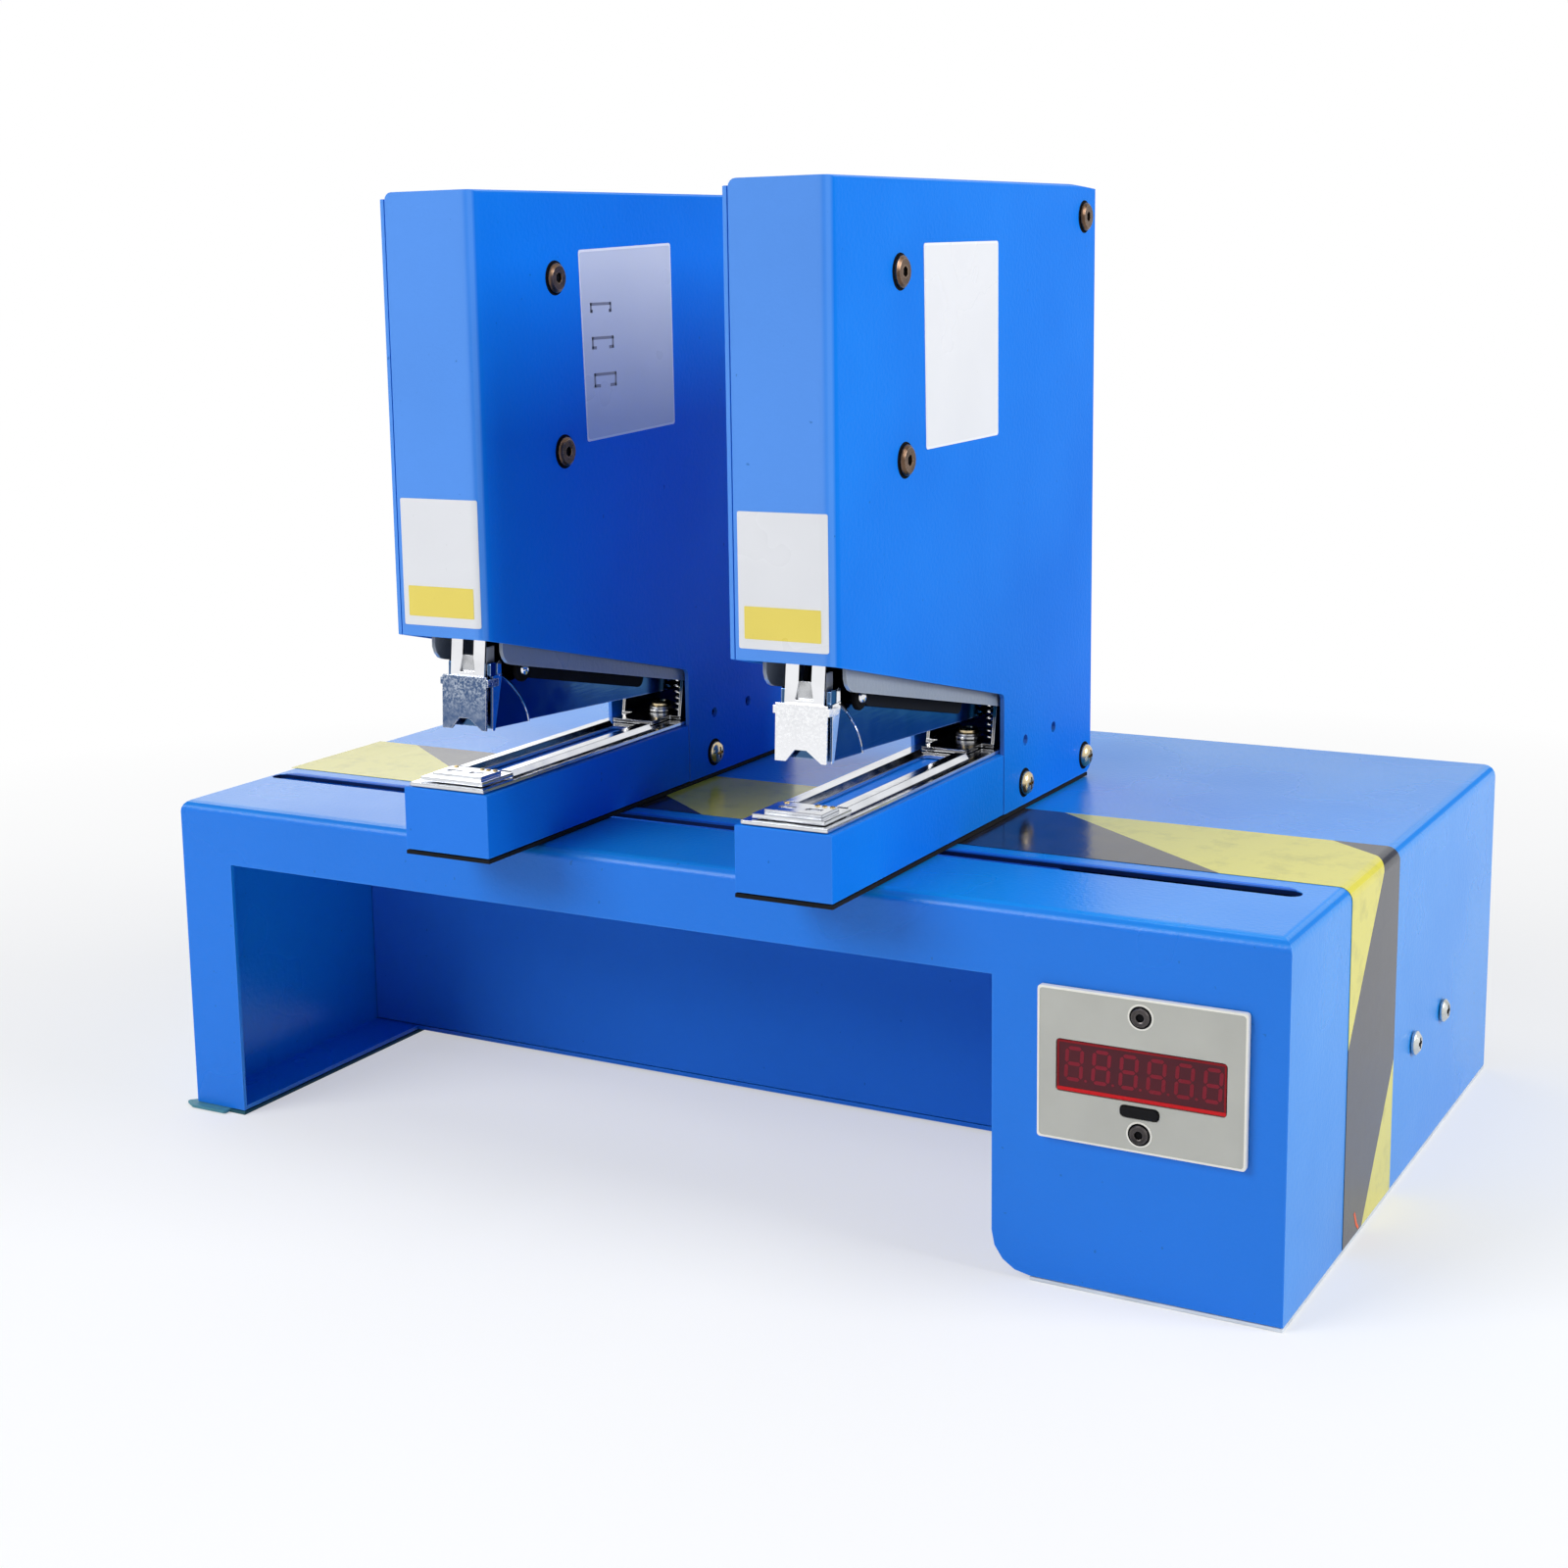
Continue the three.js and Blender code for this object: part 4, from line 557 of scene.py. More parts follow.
def ring_piece(name, outlines, material, body):
    """A band through outlines of equal length, each (y, corners), that closes on itself."""
    count = len(outlines[0][1])
    points = [at(a, y, b) for y, corners in outlines for a, b in corners]
    faces = []
    for row in range(len(outlines)):
        low, high = row * count, (row + 1) % len(outlines) * count
        for k in range(count):
            after = (k + 1) % count
            faces.append((low + k, low + after, high + after, high + k))
    return new_piece(name, mesh_of(name, points, faces), material, body)


def bead(name, x, path, radius, material, body):
    """A thin round wire along a path of (y, z) points in the plane of one x."""
    sides = 8
    points = []
    last = len(path) - 1
    for i, (y, z) in enumerate(path):
        back, ahead = path[max(i - 1, 0)], path[min(i + 1, last)]
        along = Vector((ahead[0] - back[0], ahead[1] - back[1])).normalized()
        for k in range(sides):
            angle = 2 * math.pi * k / sides
            side, out = radius * math.cos(angle), radius * math.sin(angle)
            points.append(at(x + out, y - along.y * side, z + along.x * side))
    faces = []
    for i in range(last):
        for k in range(sides):
            row, after = i * sides, (k + 1) % sides
            faces.append((row + k, row + after, row + sides + after, row + sides + k))
    faces += [tuple(range(sides)), tuple(range(last * sides, (last + 1) * sides))]
    return new_piece(name, mesh_of(name, points, faces), material, body)


def strip(name, axis, path, low, high, material, body, thickness, corner=0.0):
    """A thin sheet that follows a path of two coordinates and spans low to high along the third.

    Its four corners are rounded by the corner's radius.
    """
    put = {"y": lambda a, b, t: at(a, t, b), "z": at}[axis]
    marks = [0.0]
    for first, second in zip(path, path[1:]):
        marks.append(marks[-1] + math.dist(first, second))
    total = marks[-1]
    shares = (0, 0.08, 0.3, 0.6, 1) if corner else (0,)
    near_ends = {corner * share for share in shares} | {total - corner * share for share in shares}
    stops = sorted(set(marks) | near_ends)
    points = []
    for stop in stops:
        i = max(k for k in range(len(path) - 1) if marks[k] <= stop)
        share = (stop - marks[i]) / (marks[i + 1] - marks[i])
        a, b = Vector(path[i]).lerp(Vector(path[i + 1]), share)
        short = max(corner - min(stop, total - stop), 0.0)
        inset = corner - math.sqrt(max(corner * corner - short * short, 0.0))
        points += [put(a, b, low + inset), put(a, b, high - inset)]
    faces = [(2 * i, 2 * i + 2, 2 * i + 3, 2 * i + 1) for i in range(len(stops) - 1)]
    piece = new_piece(name, mesh_of(name, points, faces), material, body)
    solid = piece.modifiers.new("thickness", "SOLIDIFY")
    solid.thickness = thickness * MM
    solid.offset = 0
    piece.modifiers.move(len(piece.modifiers) - 1, 0)
    return piece


def arc(a, b, radius, start, end, steps):
    """Points on an arc round (a, b), with its angles in degrees."""
    turns = [math.radians(start + (end - start) * i / steps) for i in range(steps + 1)]
    return [(a + radius * math.cos(turn), b + radius * math.sin(turn)) for turn in turns]


def carve(piece, tool):
    """Cuts a tool out of a piece and leaves the result as its mesh."""
    others = list(piece.modifiers)
    cut = piece.modifiers.new("cut", "BOOLEAN")
    cut.object = tool
    cut.solver = "EXACT"
    for modifier in others:
        modifier.show_viewport = False
    graph = bpy.context.evaluated_depsgraph_get()
    graph.update()
    mesh = bpy.data.meshes.new_from_object(piece.evaluated_get(graph), depsgraph=graph)
    mesh.name = piece.data.name
    piece.modifiers.remove(cut)
    for modifier in others:
        modifier.show_viewport = True
    piece.data = mesh
    bpy.data.objects.remove(tool)


# Materials and edges of the CAD nodes

BASE_LOOKS = {
    "base_shell": (blue_base, 0.35),
    "inner_panel": (blue_head, 0.35),
    "base_tray": (blue_base, 0.35),
    "pad_left": (teal_rubber, 0.3),
    "pad_right": (foam, 0.3),
    "counter_bezel": (bezel_plastic, 0.15),
    "counter_window": (window_red, 0.15),
    "counter_body": (black_plastic, 0.3),
    "reset_button": (rubber, 0.5),
    "valve_body": (aluminium, 0.4),
    "valve_screw_front": (bare_zinc, 0.35),
    "valve_screw_rear": (bare_zinc, 0.35),
    "air_inlet": (brass, 0.4),
    "power_inlet": (black_plastic, 0.35),
}
HEAD_LOOKS = {
    "head_shell": (blue_shell, 0.35),
    "side_cover": (blue_shell, 0.3),
    "arm": (blue_head, 0.5),
    "arm_pad": (rubber, 0.2),
    "clamp_bolt": (steel, 0.3),
    "clamp_knob": (black_plastic, 0.6),
    "anvil_base": (chrome_base, 0.25),
    "anvil": (chrome_base, 0.25),
    "hinge_bracket": (bracket_shaded_chrome, 0.25),
    "hinge_pin": (steel, 0.25),
    "magazine": (magazine_blue_reflection, 0.12),
    "nose_plate": (nose_clear, 0.15),
    "staple_stick": (staple_steel, 0.1),
    "pusher": (steel, 0.2),
    "handle_cover": (grey, 0.3),
    "driver_lever": (black_enamel, 0.3),
    "driver": (chrome, 0.12),
    "return_spring": (chrome, 0.0),
    "cylinder": (aluminium, 0.5),
    "piston_rod": (steel, 0.3),
    "tie_bolt_upper": (bronze, 0.3),
    "tie_bolt_lower": (bronze, 0.3),
    "tie_bolt_rear": (bronze, 0.3),
}
for name, look in BASE_LOOKS.items():
    dress(name, *look)
for side in ("left", "right"):
    for name, look in HEAD_LOOKS.items():
        dress(f"{side}_{name}", *look)
# the left nose carries the painted blue reflection
nodes["left_nose_plate"].material_slots[0].material = nose_blue_reflection


# Tape, pad and slot of the table


def add_tape():
    """Hazard tape over the table's top and down its right side."""
    lift = 0.12
    bend = arc(TABLE_WIDTH - TABLE_BEND, TABLE_TOP - TABLE_BEND, TABLE_BEND + lift, 90, 0, 8)
    path = [(1.2, TABLE_TOP + lift)] + bend + [(TABLE_WIDTH + lift, 1.7)]
    strip("hazard_tape", "y", path, TAPE_FRONT, TAPE_BACK, tape, "base", 0.1)
    # a short scuff of orange paint low on the tape
    scuff = [(71.8, 8.8), (72.9, 9.2), (75.4, 5.0), (77.6, 2.9), (76.9, 2.2), (74.3, 4.3)]
    slab("tape_scuff", "x", scuff, TABLE_WIDTH + 0.18, TABLE_WIDTH + 0.24, mark_orange, "base")


add_tape()


def add_pad_flap():
    """The corner of the left pad that has crept out from under the leg."""
    corners = rounded([(-4.6, -0.4), (0.5, -3.4), (15.5, -3.2), (15.5, 3.0), (-1.2, 3.0)], 0.8)
    # the flap's paler teal is painted light: the same pad, out in the open
    slab("pad_left_flap", "z", corners, 0.25, 1.35, flap_teal, "base", 0.3)


add_pad_flap()


def add_slot_lining():
    """Painted shade: a dark sheet round the slot's raw edge, where the table's top shades it."""
    front, half = 43.5, 3.5
    inset = half - 0.12
    left, right = 4 + half, 389 - half
    path = arc(left, front + half, inset, 90, 270, 10) + arc(right, front + half, inset, -90, 90, 10)
    strip("slot_shade_lining", "z", path + path[:1], 112.55, 113.8, slot_navy, "base", 0.1)
    # two bands of painted shade on the table behind the slot, darker towards the slot
    back = front + 2 * half
    for label, near, far, material in (("inner", -0.12, 1.4, slot_dusk), ("outer", 1.4, 3.2, slot_blue)):
        corners = [(left - 1.5 + near, back + near), (right + 1.5 - near, back + near)]
        corners += [(right + 1.5 - far, back + far), (left - 1.5 + far, back + far)]
        slab(f"slot_shade_band_{label}", "z", corners, TABLE_TOP - 0.3, TABLE_TOP + 0.04, material, "base")


add_slot_lining()


# Counter face: unlit digits, rims of the window, the button's collar and screws

BEZEL_LOW, BEZEL_HIGH = (in_machine(corner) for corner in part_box("counter_bezel"))
WINDOW_LOW, WINDOW_HIGH = (in_machine(corner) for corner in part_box("counter_window"))


def segment(x0, z0, x1, z1, half, slant):
    """One bar of a digit, with pointed ends. Slant leans the whole digit to the right."""
    length = math.hypot(x1 - x0, z1 - z0)
    ux, uz = (x1 - x0) / length * half, (z1 - z0) / length * half
    ring = [(x0, z0), (x0 + ux - uz, z0 + uz + ux), (x1 - ux - uz, z1 - uz + ux)]
    ring += [(x1, z1), (x1 - ux + uz, z1 - uz - ux), (x0 + ux + uz, z0 + uz - ux)]
    return [(x + slant * z, z) for x, z in ring]


def digit_rings():
    """The seven bars and the point of one digit, from its lower left corner."""
    width, height, half, gap, slant = 4.5, 9.3, 0.56, 0.25, 0.06
    middle = height / 2
    spans = ((gap, middle - gap), (middle + gap, height - gap))
    bars = [(x, low, x, high) for x in (0, width) for low, high in spans]
    bars += [(gap, z, width - gap, z) for z in (0, middle, height)]
    rings = [segment(*bar, half, slant) for bar in bars]
    return rings + [arc(width + 1.55, 0, 0.42, 0, 315, 7)]


def add_digits():
    """Six unlit digits in one thin piece."""
    face = WINDOW_LOW[1]
    x0, z0, pitch = WINDOW_LOW[0] + 2.6, WINDOW_LOW[2] + 3.7, 8.2
    points, faces = [], []
    for digit in range(6):
        for ring in digit_rings():
            start, count = len(points), len(ring)
            for y in (face - 0.05, face + 0.1):
                points += [at(x0 + pitch * digit + a, y, z0 + b) for a, b in ring]
            faces.append(tuple(range(start, start + count)))
            for i in range(count):
                after = (i + 1) % count
                faces.append((start + i, start + after, start + count + after, start + count + i))
    new_piece("counter_digits", mesh_of("counter_digits", points, faces), segment_red, "base")


def add_window_rims():
    """Edges of the red filter, lit from above."""
    left, face, bottom = WINDOW_LOW
    right, _, top = WINDOW_HIGH
    low, high, edge = bottom + 1.1, top - 0.7, 0.6
    for label, a0, a1, b0, b1, material in (
        ("bottom", left, right, bottom, low, lip_bright),
        ("top", left, right, high, top, lip_dark),
        ("left", left, left + edge, low, high, lip_dark),
        ("right", right - edge, right, low, high, lip_dark),
    ):
        corners = [(a0, b0), (a1, b0), (a1, b1), (a0, b1)]
        slab(f"window_rim_{label}", "y", corners, face - 0.14, face + 0.1, material, "base", 0.05)


def add_bezel_rim():
    """Raised pale rim round the bezel."""
    left, front, bottom = BEZEL_LOW
    right, back, top = BEZEL_HIGH
    wide = box_outline(left - 0.1, right + 0.1, bottom - 0.1, top + 0.1, 0.6)
    tight = box_outline(left + 0.75, right - 0.75, bottom + 0.75, top - 0.75, 0.4)
    rim = [(back, wide), (front - 0.02, wide), (front - 0.14, tight), (front + 0.1, tight)]
    ring_piece("bezel_rim", rim, bezel_edge, "base")


def add_button_collar():
    """Pale collar round the reset button."""
    left, _, bottom = in_machine(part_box("reset_button")[0])
    right, _, top = in_machine(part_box("reset_button")[1])
    collar = []
    for out, reach in ((0.1, 1.0), (-0.05, 0.95), (-0.25, 0.7), (-0.25, 0.4), (0.1, 0.3)):
        radius = (top - bottom) / 2 + reach - 0.1
        outline = box_outline(left - reach, right + reach, bottom - reach, top + reach, radius)
        collar.append((BEZEL_LOW[1] + out, outline))
    ring_piece("button_collar", collar, bezel_edge, "base")


def add_counter_screws():
    """Two socket screws, each in a pale countersink, with painted shade in a ring round the head and in the
    socket.
    """
    seat = [(3.0, 0.1), (3.9, 0.1), (3.8, -0.14), (3.35, -0.16), (3.2, 0)]
    ring = [(2.6, 0.05), (3.3, 0.05), (3.25, -0.3), (2.95, -0.4), (2.6, -0.2)]
    head = [(2.75, 0.2), (2.8, -0.5), (2.5, -0.85), (1.55, -0.95), (1.25, -0.8), (1.15, -0.1), (0.01, -0.05)]
    socket = [(1.1, 0), (1.1, -0.3), (0.01, -0.3)]
    middle = (BEZEL_LOW[0] + BEZEL_HIGH[0]) / 2
    for label, z in (("upper", BEZEL_HIGH[2] - 5), ("lower", BEZEL_LOW[2] + 5)):
        for part, shape, material, steps in (
            ("_seat", seat, bezel_edge, 32),
            ("_ring", ring, shadow_black, 32),
            ("", head, screw_black, 24),
            ("_socket", socket, shadow_black, 6),
        ):
            profile = from_face(BEZEL_LOW[1], shape)
            turned(f"counter_screw_{label}{part}", "y", profile, middle, z, material, "base", steps)


add_digits()
add_window_rims()
add_bezel_rim()
add_button_collar()
add_counter_screws()


# Screws in the table's rear and right walls


def add_rear_screws():
    """Pan-head screws that hold the folded shell to its tray at the back."""
    head = from_face(TABLE_DEPTH, [(3.0, -0.1), (3.1, 0.5), (2.8, 1.2), (1.8, 1.7), (0.01, 1.8)])
    for i, (x, z) in enumerate(((16, 12), (138, 12), (262, 12), (384, 12), (16, 98), (384, 98))):
        screw = turned(f"rear_screw_{i + 1}", "y", head, x, z, yellow_zinc, "base", 24)
        for wide, high in ((1.7, 0.4), (0.4, 1.7)):
            corners = centred_box(x, z, wide, high)
            carve(screw, slab("tool", "y", corners, TABLE_DEPTH + 0.7, TABLE_DEPTH + 3, yellow_zinc, "base"))


add_rear_screws()


def add_valve_crosses():
    """Painted shade in the crosses of the two valve screws on the right wall: a dark sheet at each tip."""
    wide, thin = 1.7, 0.42
    for label in ("front", "rear"):
        low, high = (in_machine(p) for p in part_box(f"valve_screw_{label}"))
        y, z, tip = (low[1] + high[1]) / 2, (low[2] + high[2]) / 2, high[0]
        quarter = [(thin, thin), (thin, wide), (-thin, wide)]
        ring = []
        for _ in range(4):
            ring += quarter
            quarter = [(-b, a) for a, b in quarter]
        corners = [(y + a, z + b) for a, b in ring]
        slab(f"valve_cross_{label}", "x", corners, tip - 0.3, tip + 0.03, shadow_black, "base")


add_valve_crosses()


# Labels, screws and small parts of each head


def cross_screw(name, x, y, z, body):
    """Pan-head screw on a head's right side, with its cross, painted shade at the cross's bottom and a dark
    painted shadow ring round it.
    """
    dome = from_face(x, [(3.9, 0), (4.0, 0.6), (3.8, 1.4), (3.1, 2.1), (1.9, 2.5), (0.01, 2.6)])
    head = turned(name, "x", dome, y, z, yellow_zinc, body)
    long, short = 2.1, 0.5
    for wide, high in ((long, short), (short, long)):
        carve(head, slab("tool", "x", centred_box(y, z, wide, high), x + 0.9, x + 4.0, yellow_zinc, body))
    # painted shade at the bottom of the cross
    slab(f"{name}_cross", "x", centred_box(y, z, short, short), x + 0.8, x + 1.0, shadow_black, body)
    ring = from_face(x, [(4.95, -0.02), (4.95, 0.1), (4.4, 0.2), (3.6, 0.2)])
    turned(f"{name}_ring", "x", ring, y, z, shadow_black, body)


def staple_picture(name, x, y, z, width, height, lean, body):
    """Outline of a staple as thin print on a label. Lean is how far its feet turn inwards."""
    line, top = 0.95, z + height
    shapes = [[(y, top), (y + width, top), (y + width, top - line), (y, top - line)]]
    for edge, way in ((y, 1), (y + width, -1)):
        shapes.append([(edge, z), (edge + way * line, z), (edge + way * line, top), (edge, top)])
        foot = edge + way * lean
        shapes.append([(edge, z), (foot, z - 0.1), (foot, z + line), (edge, z + line)])
    for i, corners in enumerate(shapes):
        slab(f"{name}_{i}", "x", corners, x, x + 0.03, label_print, body)


def add_labels(side, x0, right, body):
    """The two labels of a head, with no words on them."""
    # front label: plain white vinyl with a plain yellow block, carried onto the right bend
    for label, start, end, low, high, lift, corner, material in (
        ("front_label", -14.8, 32, 188.3, 228.1, 0.08, 0.6, label_white),
        ("front_label_block", -12.9, 4, 191.2, 200.7, 0.18, 0.3, label_yellow),
    ):
        bend = arc(x0 + HEAD_HALF - HEAD_BEND, HEAD_FRONT + HEAD_BEND, HEAD_BEND + lift, -90, -90 + end, 6)
        path = [(x0 + start, HEAD_FRONT - lift)] + bend
        strip(f"{side}_{label}", "z", path, low, high, material, body, 0.08, corner)
    # label on the right side, a little out of true as on the real heads
    if side == "left":
        corners, material = [(32.6, 302.8), (35.2, 241.8), (90.3, 243.9), (89.7, 304.7)], label_silver
    else:
        corners, material = [(34.9, 302.3), (36.3, 241.7), (90.1, 242.2), (89.8, 302.7)], label_white
    outline = rounded(corners, 0.7)
    slab(f"{side}_side_label_backing", "x", outline, right + 0.02, right + 0.12, label_rim, body, 0.03, 1)
    # the face leaves a narrow pale rim of the backing
    centre, shrink = Vector((62.4, 272.6)), 0.965
    inner = [tuple(centre + (Vector(corner) - centre) * shrink) for corner in corners]
    slab(f"{side}_side_label", "x", rounded(inner, 0.4), right + 0.12, right + 0.17, material, body)
    if side == "left":
        pictures = (
            (38.4, 283.0, 12.8, 3.2, 1.6),
            (39.0, 271.2, 13.2, 4.0, 2.8),
            (39.8, 258.8, 13.6, 4.6, 3.8),
        )
        for row, picture in enumerate(pictures):
            staple_picture(f"left_staple_picture_{row + 1}", right + 0.18, *picture, body)


def add_bolt_rings(side, right, body):
    """Painted shade: the dark ring round each tie bolt's head and the dark bottom of its socket."""
    for label in ("upper", "lower", "rear"):
        low, high = (in_machine(p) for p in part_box(f"{side}_tie_bolt_{label}"))
        y, z = (low[1] + high[1]) / 2, (low[2] + high[2]) / 2
        ring = from_face(right, [(4.2, -0.02), (5.5, -0.02), (5.45, 0.12), (5.0, 0.3), (4.2, 0.2)])
        turned(f"{side}_tie_ring_{label}", "x", ring, y, z, shadow_black, body)
        socket = from_face(high[0], [(1.7, -2.5), (1.7, -0.9), (0.01, -0.9)])
        turned(f"{side}_tie_socket_{label}", "x", socket, y, z, shadow_black, body, 6)


def add_nose(side, x0):
    """Bright folded edges of the magazine's nose, a painted highlight and a painted shadow along the cheek's
    arc, and the tongue behind the driver's slot.
    """
    body = f"{side}_magazine_unit"
    skin = x0 + CHEEK
    flange = [(-13.4, 153.6), (-12.1, 153.3), (-7.5, 169.6), (-7.4, 171.2), (-12.4, 170.9)]
    slab(f"{side}_nose_flange", "x", flange, skin + 0.02, skin + 0.3, chrome, body, 0.08)
    hook = [(-9.9, 171.1), (-7.5, 171.3), (-7.5, 175.0), (-8.3, 175.5), (-9.6, 174.6)]
    slab(f"{side}_nose_hook", "x", hook, skin + 0.02, skin + 0.3, chrome, body, 0.08)
    edge = [(-8.6, 170.7), (-6.3, 169.6), (-4.2, 168.2), (-2.2, 166.7), (-0.4, 164.9), (1.7, 162.9)]
    edge += [(3.4, 161.0), (4.9, 158.9), (6.0, 156.9), (6.8, 155.0), (7.2, 153.1)]
    # a bright wire along the cheek's arc, a painted highlight
    bead(f"{side}_cheek_highlight", skin + 0.1, edge, 0.3, chrome, body)
    # a dark wire beside it, a painted shadow
    shade = [(y + 0.55, z + 0.45) for y, z in edge]
    bead(f"{side}_cheek_shadow", skin - 0.45, shade, 0.3, shadow_black, body)
    tongue = [(x0 - 4.4, 169.5), (x0 + 4.4, 169.5), (x0 + 3.6, 177.4), (x0 - 3.6, 177.4)]
    slab(f"{side}_nose_tongue", "y", tongue, -13.1, -12.4, steel, body, 0.2)
    # folded edge of the driver
    fold = [(-12.6, 172.6), (-8.2, 172.6), (-8.0, 180.0), (-12.6, 180.0)]
    slab(f"{side}_driver_fold", "x", fold, x0 + 5.7, x0 + 6.4, satin_steel, f"{side}_cover_unit", 0.1)


def add_bracket_screw(side, x0, body):
    """The screw that holds the hinge bracket, on its two washers, with painted shade in its cross."""
    y = 104.0
    washers = (("washer", 5.0, 139.4, 140.2, chrome), ("lock_washer", 4.2, 140.3, 141.0, steel))
    for label, radius, low, high, material in washers:
        profile = [(2.6, low), (radius, low), (radius, high), (2.6, high)]
        turned(f"{side}_bracket_{label}", "z", profile, x0, y, material, body, 32, 0.1)
    head = [(3.4, 141.05), (3.7, 141.5), (3.6, 142.2), (3.0, 142.7), (2.0, 142.8), (1.7, 142.2)]
    head.append((0.01, 142.1))
    turned(f"{side}_bracket_screw", "z", head, x0, y, yellow_zinc, body, 24)
    cross = [(1.8, 142.15), (1.8, 142.35), (0.01, 142.35)]
    turned(f"{side}_bracket_cross", "z", cross, x0, y, shadow_black, body, 6)


def add_rivets(side, x0, body):
    """The rivets of the anvil, and the one of the driver's lever with its boss."""
    anvil_top = in_machine(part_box(f"{side}_anvil")[1])[2]
    rivet = from_face(anvil_top, [(0.8, -0.1), (0.8, 0.2), (0.5, 0.36), (0.01, 0.4)])
    for i, across in enumerate((-7.2, 3.0, 5.4, 8.0)):
        turned(f"{side}_anvil_rivet_{i + 1}", "z", rivet, x0 + across, -12.2, brass, body, 16)
    skin = x0 + LEVER
    pivot = (1.8, 171.2)
    rivet = from_face(skin, [(2.0, -0.05), (2.0, 0.5), (1.7, 1.1), (1.0, 1.5), (0.01, 1.6)])
    turned(f"{side}_lever_rivet", "x", rivet, *pivot, chrome, f"{side}_cover_unit", 24)
    boss = from_face(skin, [(1.9, -1.2), (4.0, -1.2), (4.1, -0.2), (3.7, 0.3), (1.9, 0.3)])
    turned(f"{side}_lever_boss", "x", boss, *pivot, shadow_black, f"{side}_cover_unit")


def add_hose_grommet(side, x0, body):
    """The grommet in the hose hole at the back."""
    inside = [(3.2, 172.0), (4.6, 172.0), (4.6, 175.9)]
    outside = [(6.2, 175.9), (6.4, 176.6), (6.0, 177.3), (3.6, 177.5), (3.2, 177.0), (3.2, 172.0)]
    turned(f"{side}_hose_grommet", "y", inside + outside, x0, 148.0, rubber, body)


for side in ("left", "right"):
    body = f"{side}_head"
    middle = head_x(side)
    skin = middle + HEAD_HALF
    add_labels(side, middle, skin, body)
    add_bolt_rings(side, skin, body)
    for place, y, z in (("front", 113.9, 123.3), ("rear", 168.6, 122.3)):
        cross_screw(f"{side}_side_screw_{place}", skin, y, z, body)
    add_bracket_screw(side, middle, body)
    add_rivets(side, middle, body)
    add_hose_grommet(side, middle, body)
    add_nose(side, middle)


# Floor, light and camera


def add_floor():
    """White floor, which fades into plain white away from the object."""
    size = 6.0
    corners = [(a, b, 0) for a, b in centred_box(0, 0, size, size)]
    mesh = mesh_of("floor", corners, [(0, 1, 2, 3)])
    s = Shader("floor")
    length = s.add("ShaderNodeVectorMath", {"operation": "LENGTH"}, i0=s.place).outputs["Value"]
    far = s.spread(length, 0.3, 0.8, 0.5, 1.0)
    path = s.add("ShaderNodeLightPath")
    seen = s.math("MAXIMUM", path.outputs["Is Camera Ray"], path.outputs["Is Glossy Ray"])
    seen = s.math("MAXIMUM", seen, path.outputs["Is Transmission Ray"])
    paint = s.mix(s.spread(s.noise(3), 0.3, 0.7), (0.88, 0.89, 0.91), (0.90, 0.91, 0.92))
    diffuse = s.add("ShaderNodeBsdfDiffuse", Color=paint)
    glow = s.add("ShaderNodeEmission", Color=(1, 1, 1), Strength=1.0)
    blend = s.add("ShaderNodeMixShader", Fac=s.math("MULTIPLY", seen, far))
    s.put(blend.inputs[1], diffuse.outputs[0])
    s.put(blend.inputs[2], glow.outputs[0])
    s.tree.links.new(blend.outputs[0], s.output.inputs["Surface"])
    mesh.materials.append(s.material)
    floor = bpy.data.objects.new("floor", mesh)
    bpy.context.scene.collection.objects.link(floor)


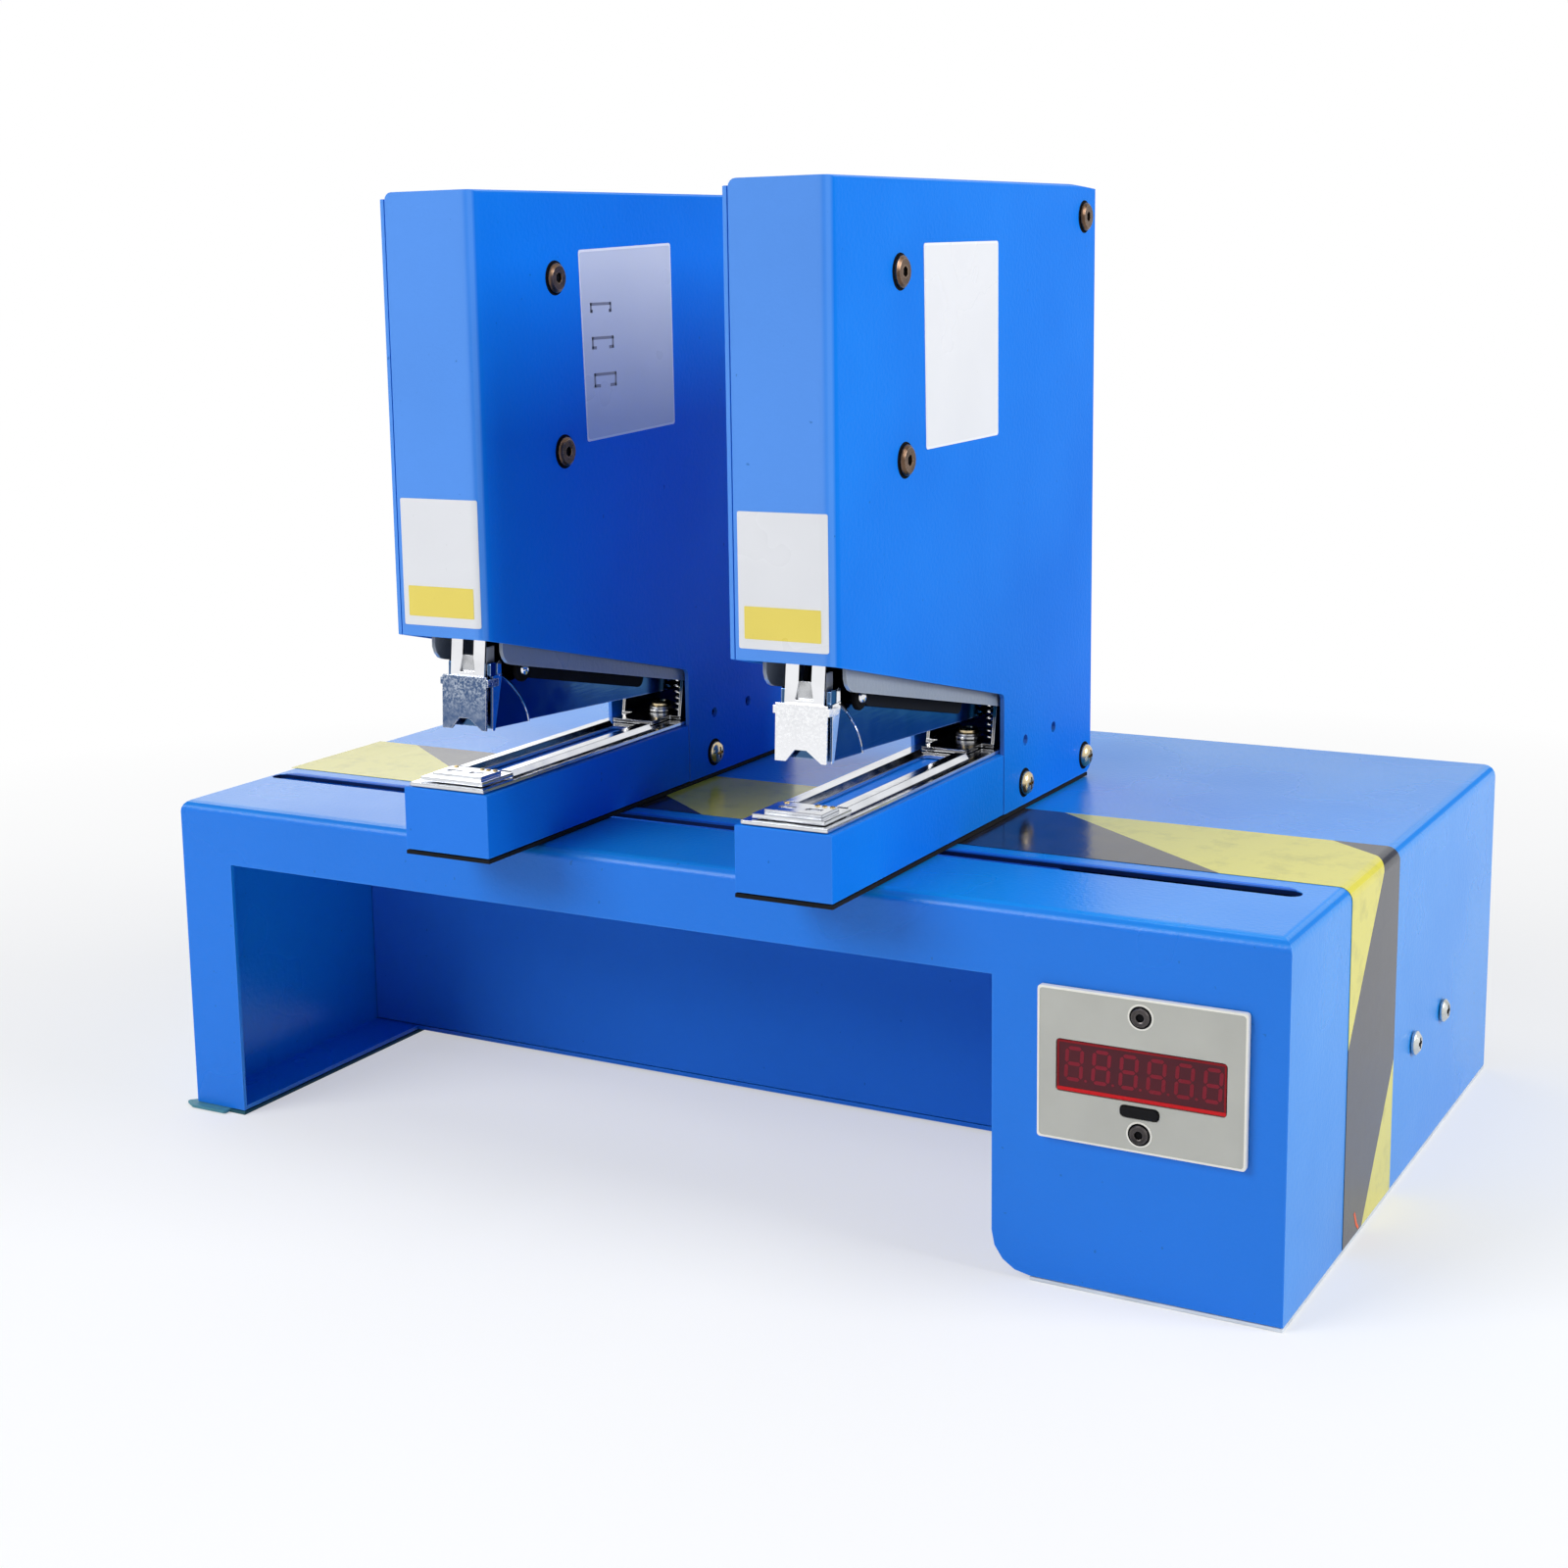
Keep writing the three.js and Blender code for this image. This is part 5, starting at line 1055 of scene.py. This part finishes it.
def add_world():
    """White for the camera, mirrors and glass, and a weak cool light for all else."""
    world = bpy.data.worlds.new("studio")
    bpy.context.scene.world = world
    world.use_nodes = True
    tree = world.node_tree
    tree.nodes.clear()
    path = tree.nodes.new("ShaderNodeLightPath")
    seen = path.outputs["Is Camera Ray"]
    for other in ("Is Glossy Ray", "Is Transmission Ray"):
        either = tree.nodes.new("ShaderNodeMath")
        either.operation = "MAXIMUM"
        tree.links.new(seen, either.inputs[0])
        tree.links.new(path.outputs[other], either.inputs[1])
        seen = either.outputs[0]
    soft = tree.nodes.new("ShaderNodeBackground")
    soft.inputs["Color"].default_value = (0.93, 0.96, 1.0, 1)
    soft.inputs["Strength"].default_value = 0.18
    white = tree.nodes.new("ShaderNodeBackground")
    white.inputs["Color"].default_value = (1, 1, 1, 1)
    white.inputs["Strength"].default_value = 1.0
    blend = tree.nodes.new("ShaderNodeMixShader")
    output = tree.nodes.new("ShaderNodeOutputWorld")
    tree.links.new(seen, blend.inputs[0])
    tree.links.new(soft.outputs[0], blend.inputs[1])
    tree.links.new(white.outputs[0], blend.inputs[2])
    tree.links.new(blend.outputs[0], output.inputs["Surface"])


def area_light(name, place, target, size, power):
    """A rectangular lamp that looks at a target. Its places and size are in metres, its power in watts."""
    data = bpy.data.lights.new(name, "AREA")
    data.shape = "RECTANGLE"
    data.size, data.size_y = size
    data.energy = power
    lamp = bpy.data.objects.new(name, data)
    bpy.context.scene.collection.objects.link(lamp)
    lamp.location = place
    lamp.rotation_euler = (Vector(target) - Vector(place)).to_track_quat("-Z", "Y").to_euler()


def add_lights():
    area_light("key", (-0.85, -1.4, 1.15), (0, 0, 0.15), (1.1, 0.9), 21.5)
    area_light("fill", (-1.5, 1.1, 1.0), (0, 0, 0.12), (1.2, 1.0), 4.5)
    area_light("right", (1.5, 0.05, 1.05), (0, 0, 0.16), (0.8, 0.8), 20.5)
    area_light("top", (-0.45, -0.05, 1.95), (0, 0, 0.1), (1.3, 1.0), 8)


def add_camera():
    """The photograph's view, solved from the table's and the heads' edges."""
    azimuth, elevation, roll = (math.radians(v) for v in (30.96, 10.29, -1.28))
    level = Vector((math.cos(azimuth), math.sin(azimuth), 0))
    ahead = Vector((-math.sin(azimuth), math.cos(azimuth), 0))
    forward = math.cos(elevation) * ahead - Vector((0, 0, math.sin(elevation)))
    upright = level.cross(forward)
    right = math.cos(roll) * level + math.sin(roll) * upright
    up = -math.sin(roll) * level + math.cos(roll) * upright
    data = bpy.data.cameras.new("camera")
    # focal length and optical centre in pixels of the photograph
    picture, focal, centre_x, centre_y = 1600, 2435, 688, 707
    data.sensor_width = 36
    data.lens = data.sensor_width * focal / picture
    data.shift_x = (picture / 2 - centre_x) / picture
    data.shift_y = (centre_y - picture / 2) / picture
    data.clip_start = 0.05
    camera = bpy.data.objects.new("camera", data)
    bpy.context.scene.collection.objects.link(camera)
    turn = Matrix((right, up, -forward)).transposed()
    camera.matrix_world = Matrix.Translation(at(578.6, -620.8, 299.4)) @ turn.to_4x4()
    bpy.context.scene.camera = camera


add_floor()
add_world()
add_lights()
add_camera()
bpy.context.scene.view_settings.view_transform = "Standard"
